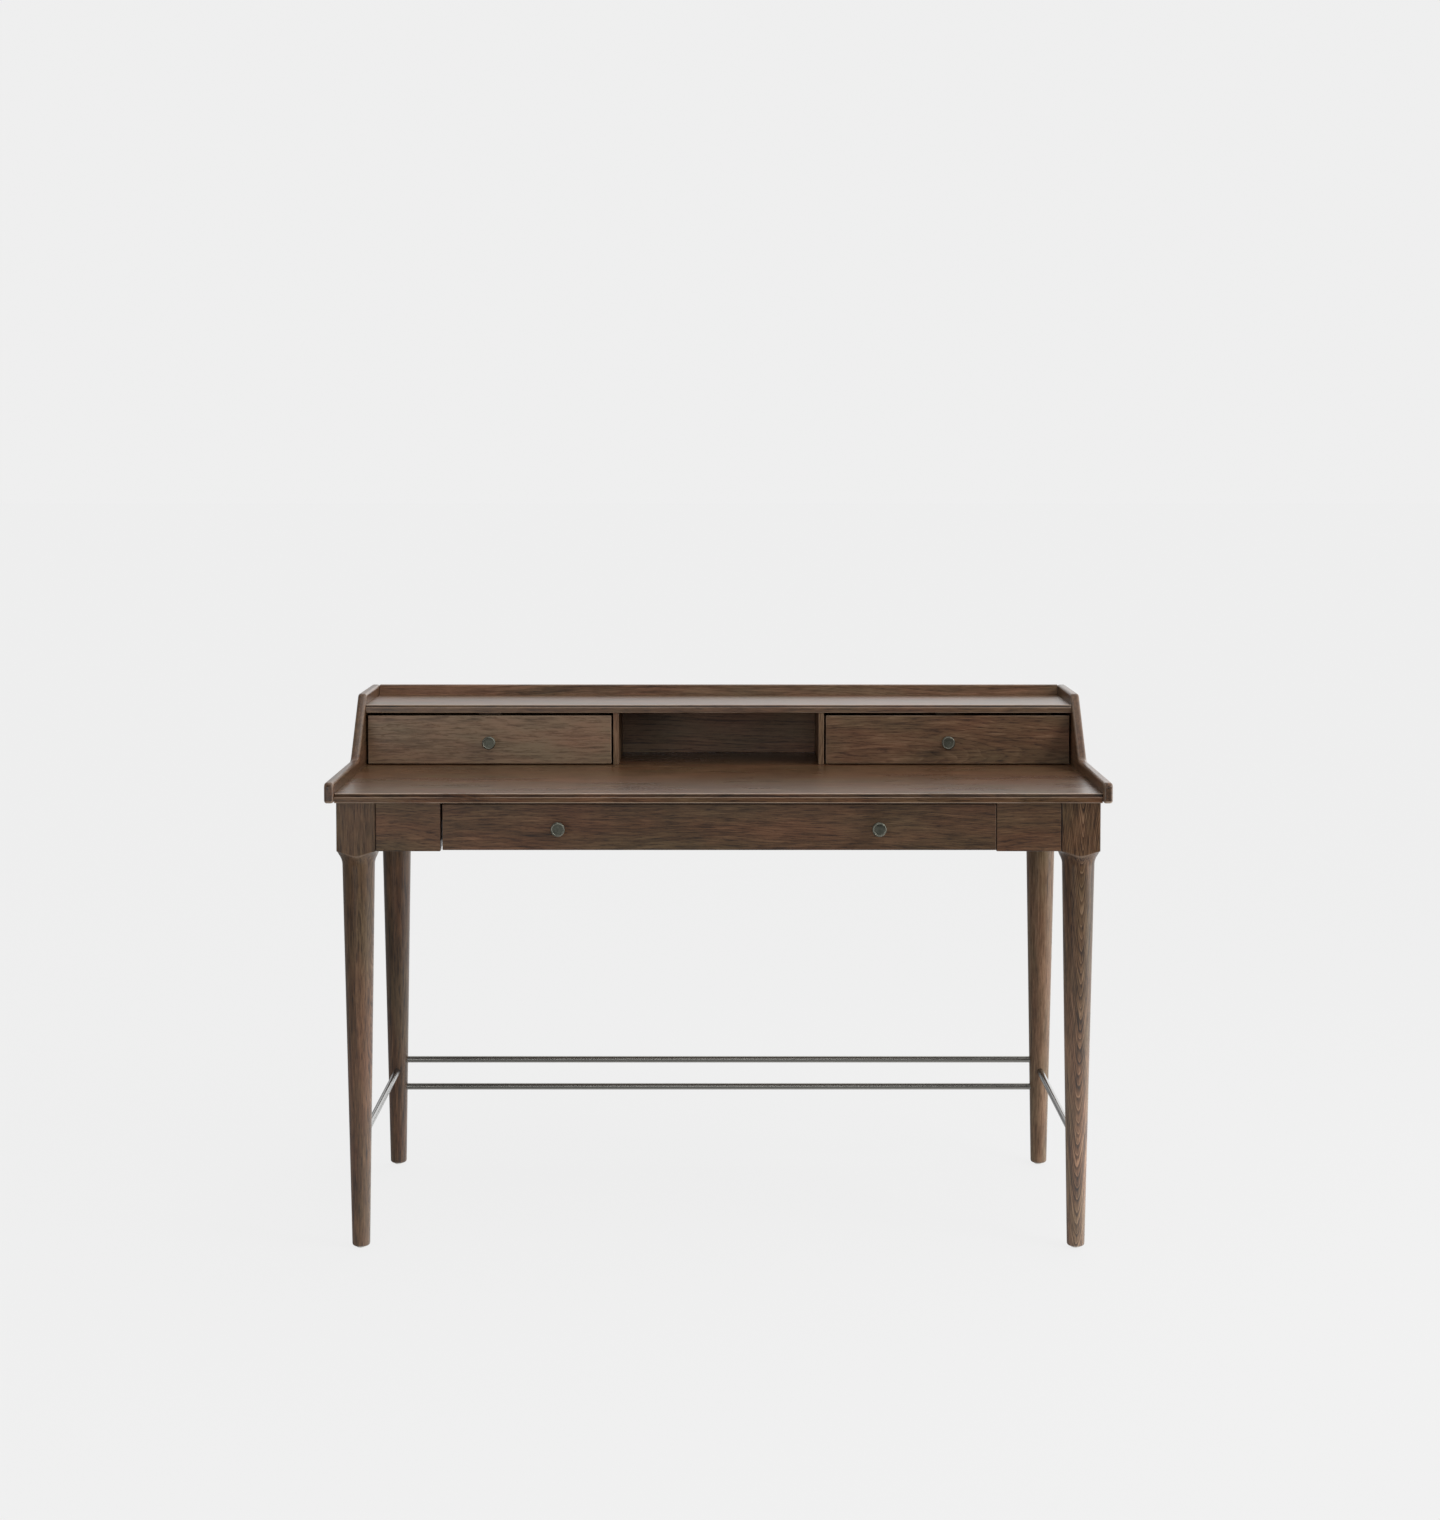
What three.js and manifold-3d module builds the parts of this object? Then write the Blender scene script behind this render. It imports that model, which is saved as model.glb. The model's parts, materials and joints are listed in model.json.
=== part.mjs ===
// A writing desk with drawers: four turned legs, a writing surface between two shaped side panels, a low
// hutch with two small drawers and an open cubby, and one wide drawer under the surface.
// Millimetres. +X is the sitter's right, +Y points to the back, +Z is up. The floor is at Z = 0, and the
// origin is under the middle of the whole desk, knobs included.
import * as THREE from "three";
import { mergeVertices } from "three/addons/utils/BufferGeometryUtils.js";
import Module from "manifold-3d";

// ---------------------------------------------------------------- driving dimensions

// The whole desk. Depths (Y) below are counted from the front tips of the side panels.
const WIDTH = 1320;
const DEPTH = 610;
const HEIGHT = 911;
const GAP = 0.3; // clearance between two pieces that touch on the real desk

// Case boards
const PANEL_THICK = 16;
const DESKTOP_UNDERSIDE = 766;
const DESKTOP_TOP = 782;
const DESKTOP_FRONT = 6;
const SHELF_UNDERSIDE = 877.5;
const SHELF_TOP = 892;
const SHELF_FRONT = 402.5;
const BACK_PANEL_THICK = 14;
const DIVIDER_THICK = 10;
const CUBBY_WIDTH = 365;
const HUTCH_FACE = 405; // front faces of the upper drawers

// Outline of a side panel, seen from the side
const PANEL_LOW_TOP = 801;
const PANEL_SLANT_START = 314;
const PANEL_SLANT_END = 420;
const PANEL_TIP_RADIUS = 9;
const PANEL_HEEL_RADIUS = 5;
const PANEL_ELBOW_RADIUS = 34;
const PANEL_SHOULDER_RADIUS = 14;

// Legs
const LEG_X = 609;
const LEG_FRONT_Y = 49;
const LEG_BACK_Y = 565.5;
const LEG_HEAD = 66;
const LEG_FOOT_DIAMETER = 30;
const LEG_NECK_DIAMETER = 54.6;
const LEG_NECK_Z = 656;
const COVE_CENTRE_RADIUS = 52;
const COVE_HEIGHT = 28;
const COVE_END_ANGLE = 1.36; // radians: the cove stops just outside the head's corners
const LEG_FOOT_ROUND = 4;
const LEG_SIDES = 24;

// Glides under the legs
const GLIDE_THICK = 3;
const GLIDE_DIAMETER = 16;
const GLIDE_CHAMFER = 0.8;
const GLIDE_STEM_DIAMETER = 5;
const GLIDE_STEM_LENGTH = 15;

// Steel rods
const ROD_DIAMETER = 12;
const ROD_SIDES = 16;
const BACK_ROD_HEIGHTS = { upper: 200, lower: 148 };
const SIDE_ROD_HEIGHT = 181;
const ROD_END_TO_LEG_AXIS = 5;

// Frame under the desktop
const FRONT_FACE = 16; // the plane of the leg heads, the fixed panels and the wide drawer
const FRONT_THICK = 20;
const WIDE_BAY = 934; // clear width between the two fixed front panels
const FRAME_BOTTOM = 683.5;
const APRON_THICK = 20;
const APRON_INSET = 4;
const CHEEK_THICK = 18;
const CHEEK_BOTTOM = 688;
const RAIL_DEPTH = 60;
const RAIL_THICK = 18;
const CLEAT = 20;
const CLEAT_END_CLEARANCE = 8;

// Drawers
const CENTRE_DRAWER = {
  faceWidth: 930,
  sideplay: 1.3, // the drawer rests this much to the right of centre in its bay
  faceBottom: 685.5,
  faceTop: 763,
  boxBottom: 690,
  sideTop: 742,
  backTop: 738,
  boxBackY: 436,
  slideRoom: 13,
  sideThick: 12,
  knobHeight: 723,
  knobSpacing: 538,
};
const UPPER_DRAWER = {
  faceGap: 3.4,
  faceBottom: 784,
  faceTop: 872.2,
  frontThick: 16,
  boxGap: 4.6,
  boxBottom: 782.5,
  sideTop: 862,
  backTop: 870,
  boxBackY: 594,
  sideThick: 10,
  knobHeight: 824,
};
const BOTTOM_THICK = 5;
const BOTTOM_HEIGHT = 6; // underside of a drawer bottom above the lower edge of its box
const GROOVE_DEPTH = 5;

// Blocks that stop the upper drawers
const STOP = { width: 40, depth: 13, height: 11, front: 430 };

// Drawer slides
const SLIDE_LENGTH = 400;
const SLIDE_START = 38;
const SLIDE_AXIS_HEIGHT = 716;
const SLIDE_WALL = 1.5;
const CHANNEL = { height: 35, depth: 10.2 };
const BAR = { height: 30, depth: 9.5 };

// Knobs and their screws. Distances run forward from the drawer's face.
const KNOB_REACH = 22;
const KNOB_DIAMETER = 24;
const KNOB_SIDES = 24;
const KNOB_FOOT = { radius: 7, thick: 2 };
const KNOB_STEM = { radius: 5, start: 3.4, end: 9 };
const KNOB_FLARE = { radius: 6.5, start: 11.5, nearRim: 13.2, rimStart: 14.2 };
const KNOB_RIM = { shoulder: 0.8, bevel: 2, width: 0.6, drop: 0.6 };
const KNOB_HOLE_DEPTH = 12;
const SCREW_DIAMETER = 4;
const SCREW_HOLE_DIAMETER = 5;
const SCREW_HEAD_DIAMETER = 8;
const SCREW_HEAD_THICK = 2.6;
const SCREW_END_CLEARANCE = 2; // between the screw's end and the bottom of the knob's hole
const SCREW_HEAD_CROWN = 0.7; // the flat top of the head as a share of its diameter
const SCREW_SIDES = 12;

// ---------------------------------------------------------------- worked-out places

const KNOB_PAST_TIPS = KNOB_REACH - FRONT_FACE;
const TIPS_Y = -(DEPTH - KNOB_PAST_TIPS) / 2;
const PANEL_INNER_X = WIDTH / 2 - PANEL_THICK;
const UNDER_TOP = DESKTOP_UNDERSIDE - GAP;
const ON_TOP = DESKTOP_TOP + GAP;
const UNDER_SHELF = SHELF_UNDERSIDE - GAP;
const LEG_HALF = LEG_HEAD / 2;
const LEG_INNER_X = LEG_X - LEG_HALF;
const APRON_OUTER_X = LEG_X + LEG_HALF - APRON_INSET;
const BACK_APRON_REAR = LEG_BACK_Y + LEG_HALF - APRON_INSET;
const BACK_APRON_FRONT = BACK_APRON_REAR - APRON_THICK;
const BACK_PANEL_FRONT = DEPTH - BACK_PANEL_THICK;
const SIDES = { left: -1, right: 1 };

// ---------------------------------------------------------------- materials

function finish(color, roughness, metalness) {
  return new THREE.MeshStandardMaterial({ color, roughness, metalness });
}

const oak = finish(0x4b3427, 0.5, 0);
const oakTop = finish(0x513a2b, 0.42, 0);
const drawerBox = finish(0x6d5240, 0.65, 0);
const knobMetal = finish(0x4d4a43, 0.45, 0.9);
const rodSteel = finish(0x45443f, 0.4, 0.9);
const zincSteel = finish(0x9ea1a4, 0.35, 0.9);
const glidePlastic = finish(0xc9c7c2, 0.6, 0);

// ---------------------------------------------------------------- shape helpers

const wasm = await Module();
wasm.setup();

const desk = new THREE.Group();
const fromTips = new THREE.Group(); // its Y = 0 is at the front tips of the side panels
fromTips.position.y = TIPS_Y;
desk.add(fromTips);

function add(name, material, geometry) {
  const mesh = new THREE.Mesh(geometry, material);
  mesh.name = name;
  fromTips.add(mesh);
}

// A box between two limits along each axis.
function box([x0, x1], [y0, y1], [z0, z1]) {
  const geometry = new THREE.BoxGeometry(Math.abs(x1 - x0), y1 - y0, z1 - z0);
  return geometry.translate((x0 + x1) / 2, (y0 + y1) / 2, (z0 + z1) / 2);
}

// An outline in (Y, Z), extruded along X between two limits.
function prismAlongX(shape, x0, x1) {
  const options = { depth: Math.abs(x1 - x0), bevelEnabled: false, curveSegments: 6 };
  const turn = new THREE.Matrix4().set(0, 0, 1, Math.min(x0, x1), 1, 0, 0, 0, 0, 1, 0, 0, 0, 0, 0, 1);
  return new THREE.ExtrudeGeometry(shape, options).applyMatrix4(turn);
}

// An outline in (X, Z), extruded along Y between two limits.
function prismAlongY(points, y0, y1) {
  const shape = new THREE.Shape(points.map(([x, z]) => new THREE.Vector2(x, z)));
  const geometry = new THREE.ExtrudeGeometry(shape, { depth: y1 - y0, bevelEnabled: false });
  return geometry.rotateX(Math.PI / 2).translate(0, y1, 0);
}

// A profile of [radius, height] points turned round the Z axis.
function turned(profile, sides) {
  const points = profile.map(([radius, height]) => new THREE.Vector2(radius, height));
  return new THREE.LatheGeometry(points, sides).rotateX(Math.PI / 2);
}

function solidOf(geometry) {
  const bare = geometry.clone();
  bare.deleteAttribute("normal");
  bare.deleteAttribute("uv");
  const merged = mergeVertices(bare, 1e-4);
  const vertProperties = merged.attributes.position.array;
  const triVerts = new Uint32Array(merged.index.array);
  return new wasm.Manifold(new wasm.Mesh({ numProp: 3, vertProperties, triVerts }));
}

function geometryOf(solid) {
  const mesh = solid.getMesh();
  const geometry = new THREE.BufferGeometry();
  geometry.setAttribute("position", new THREE.BufferAttribute(mesh.vertProperties, 3));
  geometry.setIndex(new THREE.BufferAttribute(mesh.triVerts, 1));
  return geometry;
}

function cutAway(geometry, tools) {
  return geometryOf(tools.reduce((solid, tool) => solid.subtract(solidOf(tool)), solidOf(geometry)));
}

function common(first, second) {
  return geometryOf(solidOf(first).intersect(solidOf(second)));
}

// A round bar along one axis between two ends.
function bar(axis, diameter, sides, start, end) {
  const length = start.distanceTo(end);
  const geometry = new THREE.CylinderGeometry(diameter / 2, diameter / 2, length, sides);
  if (axis === "x") geometry.rotateZ(Math.PI / 2);
  const middle = start.clone().add(end).multiplyScalar(0.5);
  return geometry.translate(middle.x, middle.y, middle.z);
}

// ---------------------------------------------------------------- legs, glides and rods

function legRadius(z) {
  const share = (z - GLIDE_THICK) / (LEG_NECK_Z - GLIDE_THICK);
  return (LEG_FOOT_DIAMETER + share * (LEG_NECK_DIAMETER - LEG_FOOT_DIAMETER)) / 2;
}

// Below the square head the wood is turned: a hollow cove runs down from the head's corners into a long
// taper.
function legTurning() {
  const stemRadius = GLIDE_STEM_DIAMETER / 2 + GAP;
  const stemTop = GLIDE_THICK + GLIDE_STEM_LENGTH;
  const profile = [
    [0, stemTop],
    [stemRadius, stemTop],
    [stemRadius, GLIDE_THICK],
  ];
  const footSteps = 3;
  for (let step = 0; step <= footSteps; step++) {
    const angle = (step / footSteps) * (Math.PI / 2);
    const z = GLIDE_THICK + LEG_FOOT_ROUND * (1 - Math.cos(angle));
    profile.push([legRadius(z) - LEG_FOOT_ROUND * (1 - Math.sin(angle)), z]);
  }
  const neck = legRadius(LEG_NECK_Z);
  const coveSteps = 7;
  for (let step = 0; step <= coveSteps; step++) {
    const angle = (step / coveSteps) * COVE_END_ANGLE;
    const radius = COVE_CENTRE_RADIUS - (COVE_CENTRE_RADIUS - neck) * Math.cos(angle);
    profile.push([radius, LEG_NECK_Z + COVE_HEIGHT * Math.sin(angle)]);
  }
  const outside = COVE_CENTRE_RADIUS;
  profile.push([outside, LEG_NECK_Z + COVE_HEIGHT], [outside, UNDER_TOP], [0, UNDER_TOP]);
  return turned(profile, LEG_SIDES);
}

function leg(x, y, rodHoles) {
  const head = box([-LEG_HALF, LEG_HALF], [-LEG_HALF, LEG_HALF], [0, UNDER_TOP]);
  return cutAway(common(legTurning(), head).translate(x, y, 0), rodHoles);
}

function glide(x, y) {
  const radius = GLIDE_DIAMETER / 2;
  const stem = GLIDE_STEM_DIAMETER / 2;
  const headTop = GLIDE_THICK - GAP;
  const stemTop = GLIDE_THICK + GLIDE_STEM_LENGTH - GAP;
  const profile = [
    [0, 0],
    [radius - GLIDE_CHAMFER, 0],
    [radius, GLIDE_CHAMFER],
    [radius, headTop],
    [stem, headTop],
    [stem, stemTop],
    [0, stemTop],
  ];
  return turned(profile, LEG_SIDES).translate(x, y, 0);
}

function backRod(height, diameter, endToAxis) {
  const end = LEG_X - endToAxis;
  const start = new THREE.Vector3(-end, LEG_BACK_Y, height);
  return bar("x", diameter, ROD_SIDES, start, new THREE.Vector3(end, LEG_BACK_Y, height));
}

function sideRod(side, diameter, endToAxis) {
  const start = new THREE.Vector3(side * LEG_X, LEG_FRONT_Y + endToAxis, SIDE_ROD_HEIGHT);
  const end = new THREE.Vector3(side * LEG_X, LEG_BACK_Y - endToAxis, SIDE_ROD_HEIGHT);
  return bar("y", diameter, ROD_SIDES, start, end);
}

const ROD_HOLE_DIAMETER = ROD_DIAMETER + 2 * GAP;
const HOLE_END_TO_LEG_AXIS = ROD_END_TO_LEG_AXIS - GAP;
const backRodHoles = Object.values(BACK_ROD_HEIGHTS).map((height) =>
  backRod(height, ROD_HOLE_DIAMETER, HOLE_END_TO_LEG_AXIS),
);

for (const [sideName, side] of Object.entries(SIDES)) {
  const sideRodHole = sideRod(side, ROD_HOLE_DIAMETER, HOLE_END_TO_LEG_AXIS);
  add(`leg_front_${sideName}`, oak, leg(side * LEG_X, LEG_FRONT_Y, [sideRodHole]));
  add(`leg_back_${sideName}`, oak, leg(side * LEG_X, LEG_BACK_Y, [sideRodHole, ...backRodHoles]));
  add(`glide_front_${sideName}`, glidePlastic, glide(side * LEG_X, LEG_FRONT_Y));
  add(`glide_back_${sideName}`, glidePlastic, glide(side * LEG_X, LEG_BACK_Y));
  add(`side_rod_${sideName}`, rodSteel, sideRod(side, ROD_DIAMETER, ROD_END_TO_LEG_AXIS));
}
for (const [place, height] of Object.entries(BACK_ROD_HEIGHTS)) {
  add(`back_rod_${place}`, rodSteel, backRod(height, ROD_DIAMETER, ROD_END_TO_LEG_AXIS));
}

// ---------------------------------------------------------------- writing surface and hutch

// A corner at point `at` between the directions to `before` and `after`, rounded to a radius.
function roundCorner(shape, before, at, after, radius) {
  const inward = before.clone().sub(at).normalize();
  const outward = after.clone().sub(at).normalize();
  const halfAngle = inward.angleTo(outward) / 2;
  const reach = radius / Math.tan(halfAngle);
  const start = at.clone().addScaledVector(inward, reach);
  const end = at.clone().addScaledVector(outward, reach);
  if (shape.curves.length === 0 && shape.currentPoint.length() === 0) shape.moveTo(start.x, start.y);
  else shape.lineTo(start.x, start.y);
  shape.quadraticCurveTo(at.x, at.y, end.x, end.y);
}

function sidePanelOutline() {
  const corners = [
    [0, DESKTOP_UNDERSIDE, PANEL_HEEL_RADIUS],
    [DEPTH, DESKTOP_UNDERSIDE, 1],
    [DEPTH, HEIGHT, PANEL_HEEL_RADIUS],
    [PANEL_SLANT_END, HEIGHT, PANEL_SHOULDER_RADIUS],
    [PANEL_SLANT_START, PANEL_LOW_TOP, PANEL_ELBOW_RADIUS],
    [0, PANEL_LOW_TOP, PANEL_TIP_RADIUS],
  ];
  const points = corners.map(([y, z]) => new THREE.Vector2(y, z));
  const shape = new THREE.Shape();
  corners.forEach(([, , radius], index) => {
    const before = points[(index + points.length - 1) % points.length];
    const after = points[(index + 1) % points.length];
    roundCorner(shape, before, points[index], after, radius);
  });
  shape.closePath();
  return shape;
}

const insidePanels = [-PANEL_INNER_X + GAP, PANEL_INNER_X - GAP];
add("desktop", oakTop, box(insidePanels, [DESKTOP_FRONT, DEPTH], [DESKTOP_UNDERSIDE, DESKTOP_TOP]));
add("back_panel", oak, box(insidePanels, [BACK_PANEL_FRONT, DEPTH], [ON_TOP, HEIGHT]));
const shelfY = [SHELF_FRONT, BACK_PANEL_FRONT - GAP];
add("upper_shelf", oakTop, box(insidePanels, shelfY, [SHELF_UNDERSIDE, SHELF_TOP]));

const outline = sidePanelOutline();
for (const [sideName, side] of Object.entries(SIDES)) {
  add(`side_panel_${sideName}`, oak, prismAlongX(outline, side * PANEL_INNER_X, (side * WIDTH) / 2));
  const dividerX = [(side * CUBBY_WIDTH) / 2, side * (CUBBY_WIDTH / 2 + DIVIDER_THICK)];
  const dividerY = [HUTCH_FACE, BACK_PANEL_FRONT - GAP];
  add(`divider_${sideName}`, oak, box(dividerX, dividerY, [ON_TOP, UNDER_SHELF]));
}

// ---------------------------------------------------------------- frame under the desktop

const wideHalf = WIDE_BAY / 2;
const behindFront = FRONT_FACE + FRONT_THICK + GAP;
const apronLength = [LEG_FRONT_Y + LEG_HALF + GAP, LEG_BACK_Y - LEG_HALF - GAP];
const apronInnerX = APRON_OUTER_X - APRON_THICK;
const cleatHeights = [UNDER_TOP - CLEAT, UNDER_TOP];

for (const [sideName, side] of Object.entries(SIDES)) {
  const frontX = [side * wideHalf, side * (LEG_INNER_X - GAP)];
  const frontY = [FRONT_FACE, FRONT_FACE + FRONT_THICK];
  add(`front_panel_${sideName}`, oak, box(frontX, frontY, [FRAME_BOTTOM, UNDER_TOP]));
  const apronX = [side * apronInnerX, side * APRON_OUTER_X];
  add(`side_apron_${sideName}`, oak, box(apronX, apronLength, [FRAME_BOTTOM, UNDER_TOP]));
  const cheekX = [side * wideHalf, side * (wideHalf + CHEEK_THICK)];
  const cheekY = [behindFront, BACK_APRON_FRONT - GAP];
  add(`drawer_cheek_${sideName}`, oak, box(cheekX, cheekY, [CHEEK_BOTTOM, UNDER_TOP]));
  const cleatX = [side * (apronInnerX - GAP - CLEAT), side * (apronInnerX - GAP)];
  const cleatY = [apronLength[0] + CLEAT_END_CLEARANCE, apronLength[1] - CLEAT_END_CLEARANCE];
  add(`cleat_${sideName}`, oak, box(cleatX, cleatY, cleatHeights));
}
const backApronX = [-LEG_INNER_X + GAP, LEG_INNER_X - GAP];
add("back_apron", oak, box(backApronX, [BACK_APRON_FRONT, BACK_APRON_REAR], [FRAME_BOTTOM, UNDER_TOP]));
const railX = [-wideHalf + GAP, wideHalf - GAP];
const railY = [SLIDE_START, SLIDE_START + RAIL_DEPTH];
add("front_rail", oak, box(railX, railY, [UNDER_TOP - RAIL_THICK, UNDER_TOP]));
const backCleatX = [railX[0] + CLEAT_END_CLEARANCE, railX[1] - CLEAT_END_CLEARANCE];
const backCleatY = [BACK_APRON_FRONT - GAP - CLEAT, BACK_APRON_FRONT - GAP];
add("cleat_back", oak, box(backCleatX, backCleatY, cleatHeights));

// ---------------------------------------------------------------- knobs and screws

// A turned piece on an axis that runs forward (-Y) out of a drawer's face.
function turnedForward(profile, sides, x, y, z) {
  return turned(profile, sides).rotateX(Math.PI / 2).translate(x, y, z);
}

function knob(x, faceY, z) {
  const rim = KNOB_DIAMETER / 2;
  const hole = SCREW_DIAMETER / 2 + GAP;
  const profile = [
    [0, KNOB_HOLE_DEPTH],
    [hole, KNOB_HOLE_DEPTH],
    [hole, GAP],
    [KNOB_FOOT.radius, GAP],
    [KNOB_FOOT.radius, KNOB_FOOT.thick],
    [KNOB_STEM.radius, KNOB_STEM.start],
    [KNOB_STEM.radius, KNOB_STEM.end],
    [KNOB_FLARE.radius, KNOB_FLARE.start],
    [rim - KNOB_RIM.shoulder, KNOB_FLARE.nearRim],
    [rim, KNOB_FLARE.rimStart],
    [rim, KNOB_REACH - KNOB_RIM.bevel],
    [rim - KNOB_RIM.bevel, KNOB_REACH],
    [rim - KNOB_RIM.bevel - KNOB_RIM.width, KNOB_REACH],
    [rim - KNOB_RIM.bevel - KNOB_RIM.width - KNOB_RIM.drop, KNOB_REACH - KNOB_RIM.drop],
    [0, KNOB_REACH - KNOB_RIM.drop],
  ];
  return turnedForward(profile, KNOB_SIDES, x, faceY, z);
}

function knobScrew(x, faceY, z, frontThick) {
  const head = SCREW_HEAD_DIAMETER / 2;
  const shank = SCREW_DIAMETER / 2;
  const seat = -frontThick - GAP;
  const profile = [
    [0, seat - SCREW_HEAD_THICK],
    [head * SCREW_HEAD_CROWN, seat - SCREW_HEAD_THICK],
    [head, seat - SCREW_HEAD_THICK / 2],
    [head, seat],
    [shank, seat],
    [shank, KNOB_HOLE_DEPTH - SCREW_END_CLEARANCE],
    [0, KNOB_HOLE_DEPTH - SCREW_END_CLEARANCE],
  ];
  return turnedForward(profile, SCREW_SIDES, x, faceY, z);
}

function screwHole(x, y, z) {
  const start = new THREE.Vector3(x, y - 1, z);
  return bar("y", SCREW_HOLE_DIAMETER, SCREW_SIDES, start, new THREE.Vector3(x, y + FRONT_THICK + 1, z));
}

// ---------------------------------------------------------------- drawers

// One drawer: a front, two sides and a back, with a thin bottom that lies in grooves and runs under the back.
// `knobs` maps a name ending to the knob's X.
function drawer(name, part) {
  const { faceX, faceY, faceZ, frontThick, knobs, knobHeight } = part;
  const { boxX, boxZ, backTop, boxBackY, sideThick } = part;
  const boxFrontY = faceY + frontThick + GAP;
  const bottomZ = [boxZ[0] + BOTTOM_HEIGHT, boxZ[0] + BOTTOM_HEIGHT + BOTTOM_THICK];
  const grooveZ = [bottomZ[0] - GAP, bottomZ[1] + GAP];
  const innerX = [boxX[0] + sideThick, boxX[1] - sideThick];
  const bottomX = [innerX[0] - GROOVE_DEPTH + GAP, innerX[1] + GROOVE_DEPTH - GAP];
  const bottomFrontY = faceY + frontThick - GROOVE_DEPTH + GAP;

  const grooveX = [bottomX[0] - GAP, bottomX[1] + GAP];
  const frontGroove = box(grooveX, [faceY + frontThick - GROOVE_DEPTH, faceY + frontThick + 1], grooveZ);
  const holes = Object.values(knobs).map((x) => screwHole(x, faceY, knobHeight));
  const blank = box(faceX, [faceY, faceY + frontThick], faceZ);
  add(`${name}_front`, oak, cutAway(blank, [frontGroove, ...holes]));

  const sideOuterX = { left: boxX[0], right: boxX[1] };
  for (const [sideName, side] of Object.entries(SIDES)) {
    const outer = sideOuterX[sideName];
    const inner = outer - side * sideThick;
    const groove = inner + side * GROOVE_DEPTH;
    const points = [
      [outer, boxZ[0]],
      [outer, boxZ[1]],
      [inner, boxZ[1]],
      [inner, grooveZ[1]],
      [groove, grooveZ[1]],
      [groove, grooveZ[0]],
      [inner, grooveZ[0]],
      [inner, boxZ[0]],
    ];
    add(`${name}_side_${sideName}`, drawerBox, prismAlongY(points, boxFrontY, boxBackY));
  }
  const backX = [innerX[0] + GAP, innerX[1] - GAP];
  add(`${name}_back`, drawerBox, box(backX, [boxBackY - sideThick, boxBackY], [grooveZ[1], backTop]));
  add(`${name}_bottom`, drawerBox, box(bottomX, [bottomFrontY, boxBackY], bottomZ));
  for (const [ending, x] of Object.entries(knobs)) {
    add(`${name}_knob${ending}`, knobMetal, knob(x, faceY, knobHeight));
    add(`${name}_knob_screw${ending}`, zincSteel, knobScrew(x, faceY, knobHeight, frontThick));
  }
}

const centre = CENTRE_DRAWER;
const centreBoxHalf = wideHalf - centre.slideRoom;
drawer("centre_drawer", {
  faceX: [centre.sideplay - centre.faceWidth / 2, centre.sideplay + centre.faceWidth / 2],
  faceY: FRONT_FACE,
  faceZ: [centre.faceBottom, centre.faceTop],
  frontThick: FRONT_THICK,
  boxX: [-centreBoxHalf, centreBoxHalf],
  boxZ: [centre.boxBottom, centre.sideTop],
  backTop: centre.backTop,
  boxBackY: centre.boxBackY,
  sideThick: centre.sideThick,
  knobs: { _left: -centre.knobSpacing / 2, _right: centre.knobSpacing / 2 },
  knobHeight: centre.knobHeight,
});

const upper = UPPER_DRAWER;
const bayInner = CUBBY_WIDTH / 2 + DIVIDER_THICK;
for (const [sideName, side] of Object.entries(SIDES)) {
  const between = (gap) => [side * (bayInner + gap), side * (PANEL_INNER_X - gap)].sort((a, b) => a - b);
  drawer(`${sideName}_drawer`, {
    faceX: between(upper.faceGap),
    faceY: HUTCH_FACE,
    faceZ: [upper.faceBottom, upper.faceTop],
    frontThick: upper.frontThick,
    boxX: between(upper.boxGap),
    boxZ: [upper.boxBottom, upper.sideTop],
    backTop: upper.backTop,
    boxBackY: upper.boxBackY,
    sideThick: upper.sideThick,
    knobs: { "": (side * (bayInner + PANEL_INNER_X)) / 2 },
    knobHeight: upper.knobHeight,
  });
  const stopX = (side * (bayInner + PANEL_INNER_X)) / 2;
  const stopZ = [UNDER_SHELF - STOP.height, UNDER_SHELF];
  const stopWidth = [stopX - STOP.width / 2, stopX + STOP.width / 2];
  add(`drawer_stop_${sideName}`, oak, box(stopWidth, [STOP.front, STOP.front + STOP.depth], stopZ));
}

// ---------------------------------------------------------------- slides of the wide drawer

// A C-shaped section in (X, Z): its web at `webX`, its lips reaching `depth` towards `towards` (-1 or 1).
function slideSection(webX, towards, { height, depth }) {
  const half = height / 2;
  const low = SLIDE_AXIS_HEIGHT - half;
  const high = SLIDE_AXIS_HEIGHT + half;
  const web = webX + towards * SLIDE_WALL;
  const lip = webX + towards * depth;
  return [
    [webX, low],
    [webX, high],
    [lip, high],
    [lip, high - SLIDE_WALL],
    [web, high - SLIDE_WALL],
    [web, low + SLIDE_WALL],
    [lip, low + SLIDE_WALL],
    [lip, low],
  ];
}

for (const [sideName, side] of Object.entries(SIDES)) {
  const ends = [SLIDE_START, SLIDE_START + SLIDE_LENGTH];
  const channel = slideSection(side * (wideHalf - GAP), -side, CHANNEL);
  add(`slide_channel_${sideName}`, zincSteel, prismAlongY(channel, ...ends));
  const runner = slideSection(side * (centreBoxHalf + GAP), side, BAR);
  add(`slide_bar_${sideName}`, zincSteel, prismAlongY(runner, ...ends));
}

export default desk;
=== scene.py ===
# %% [markdown]
# # A stained oak writing desk
# The structure of this desk is already settled: every board, leg, rod, knob and slide has its place, and
# three drawers slide. This lesson gives each piece its finished surface. Boards get eased edges, the legs
# get their turned cove, and the oak, the pewter and the steel get materials made of nodes. Everything is in
# metres, and places come from the frame, so a finished piece sits exactly where its plain one was.

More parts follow.
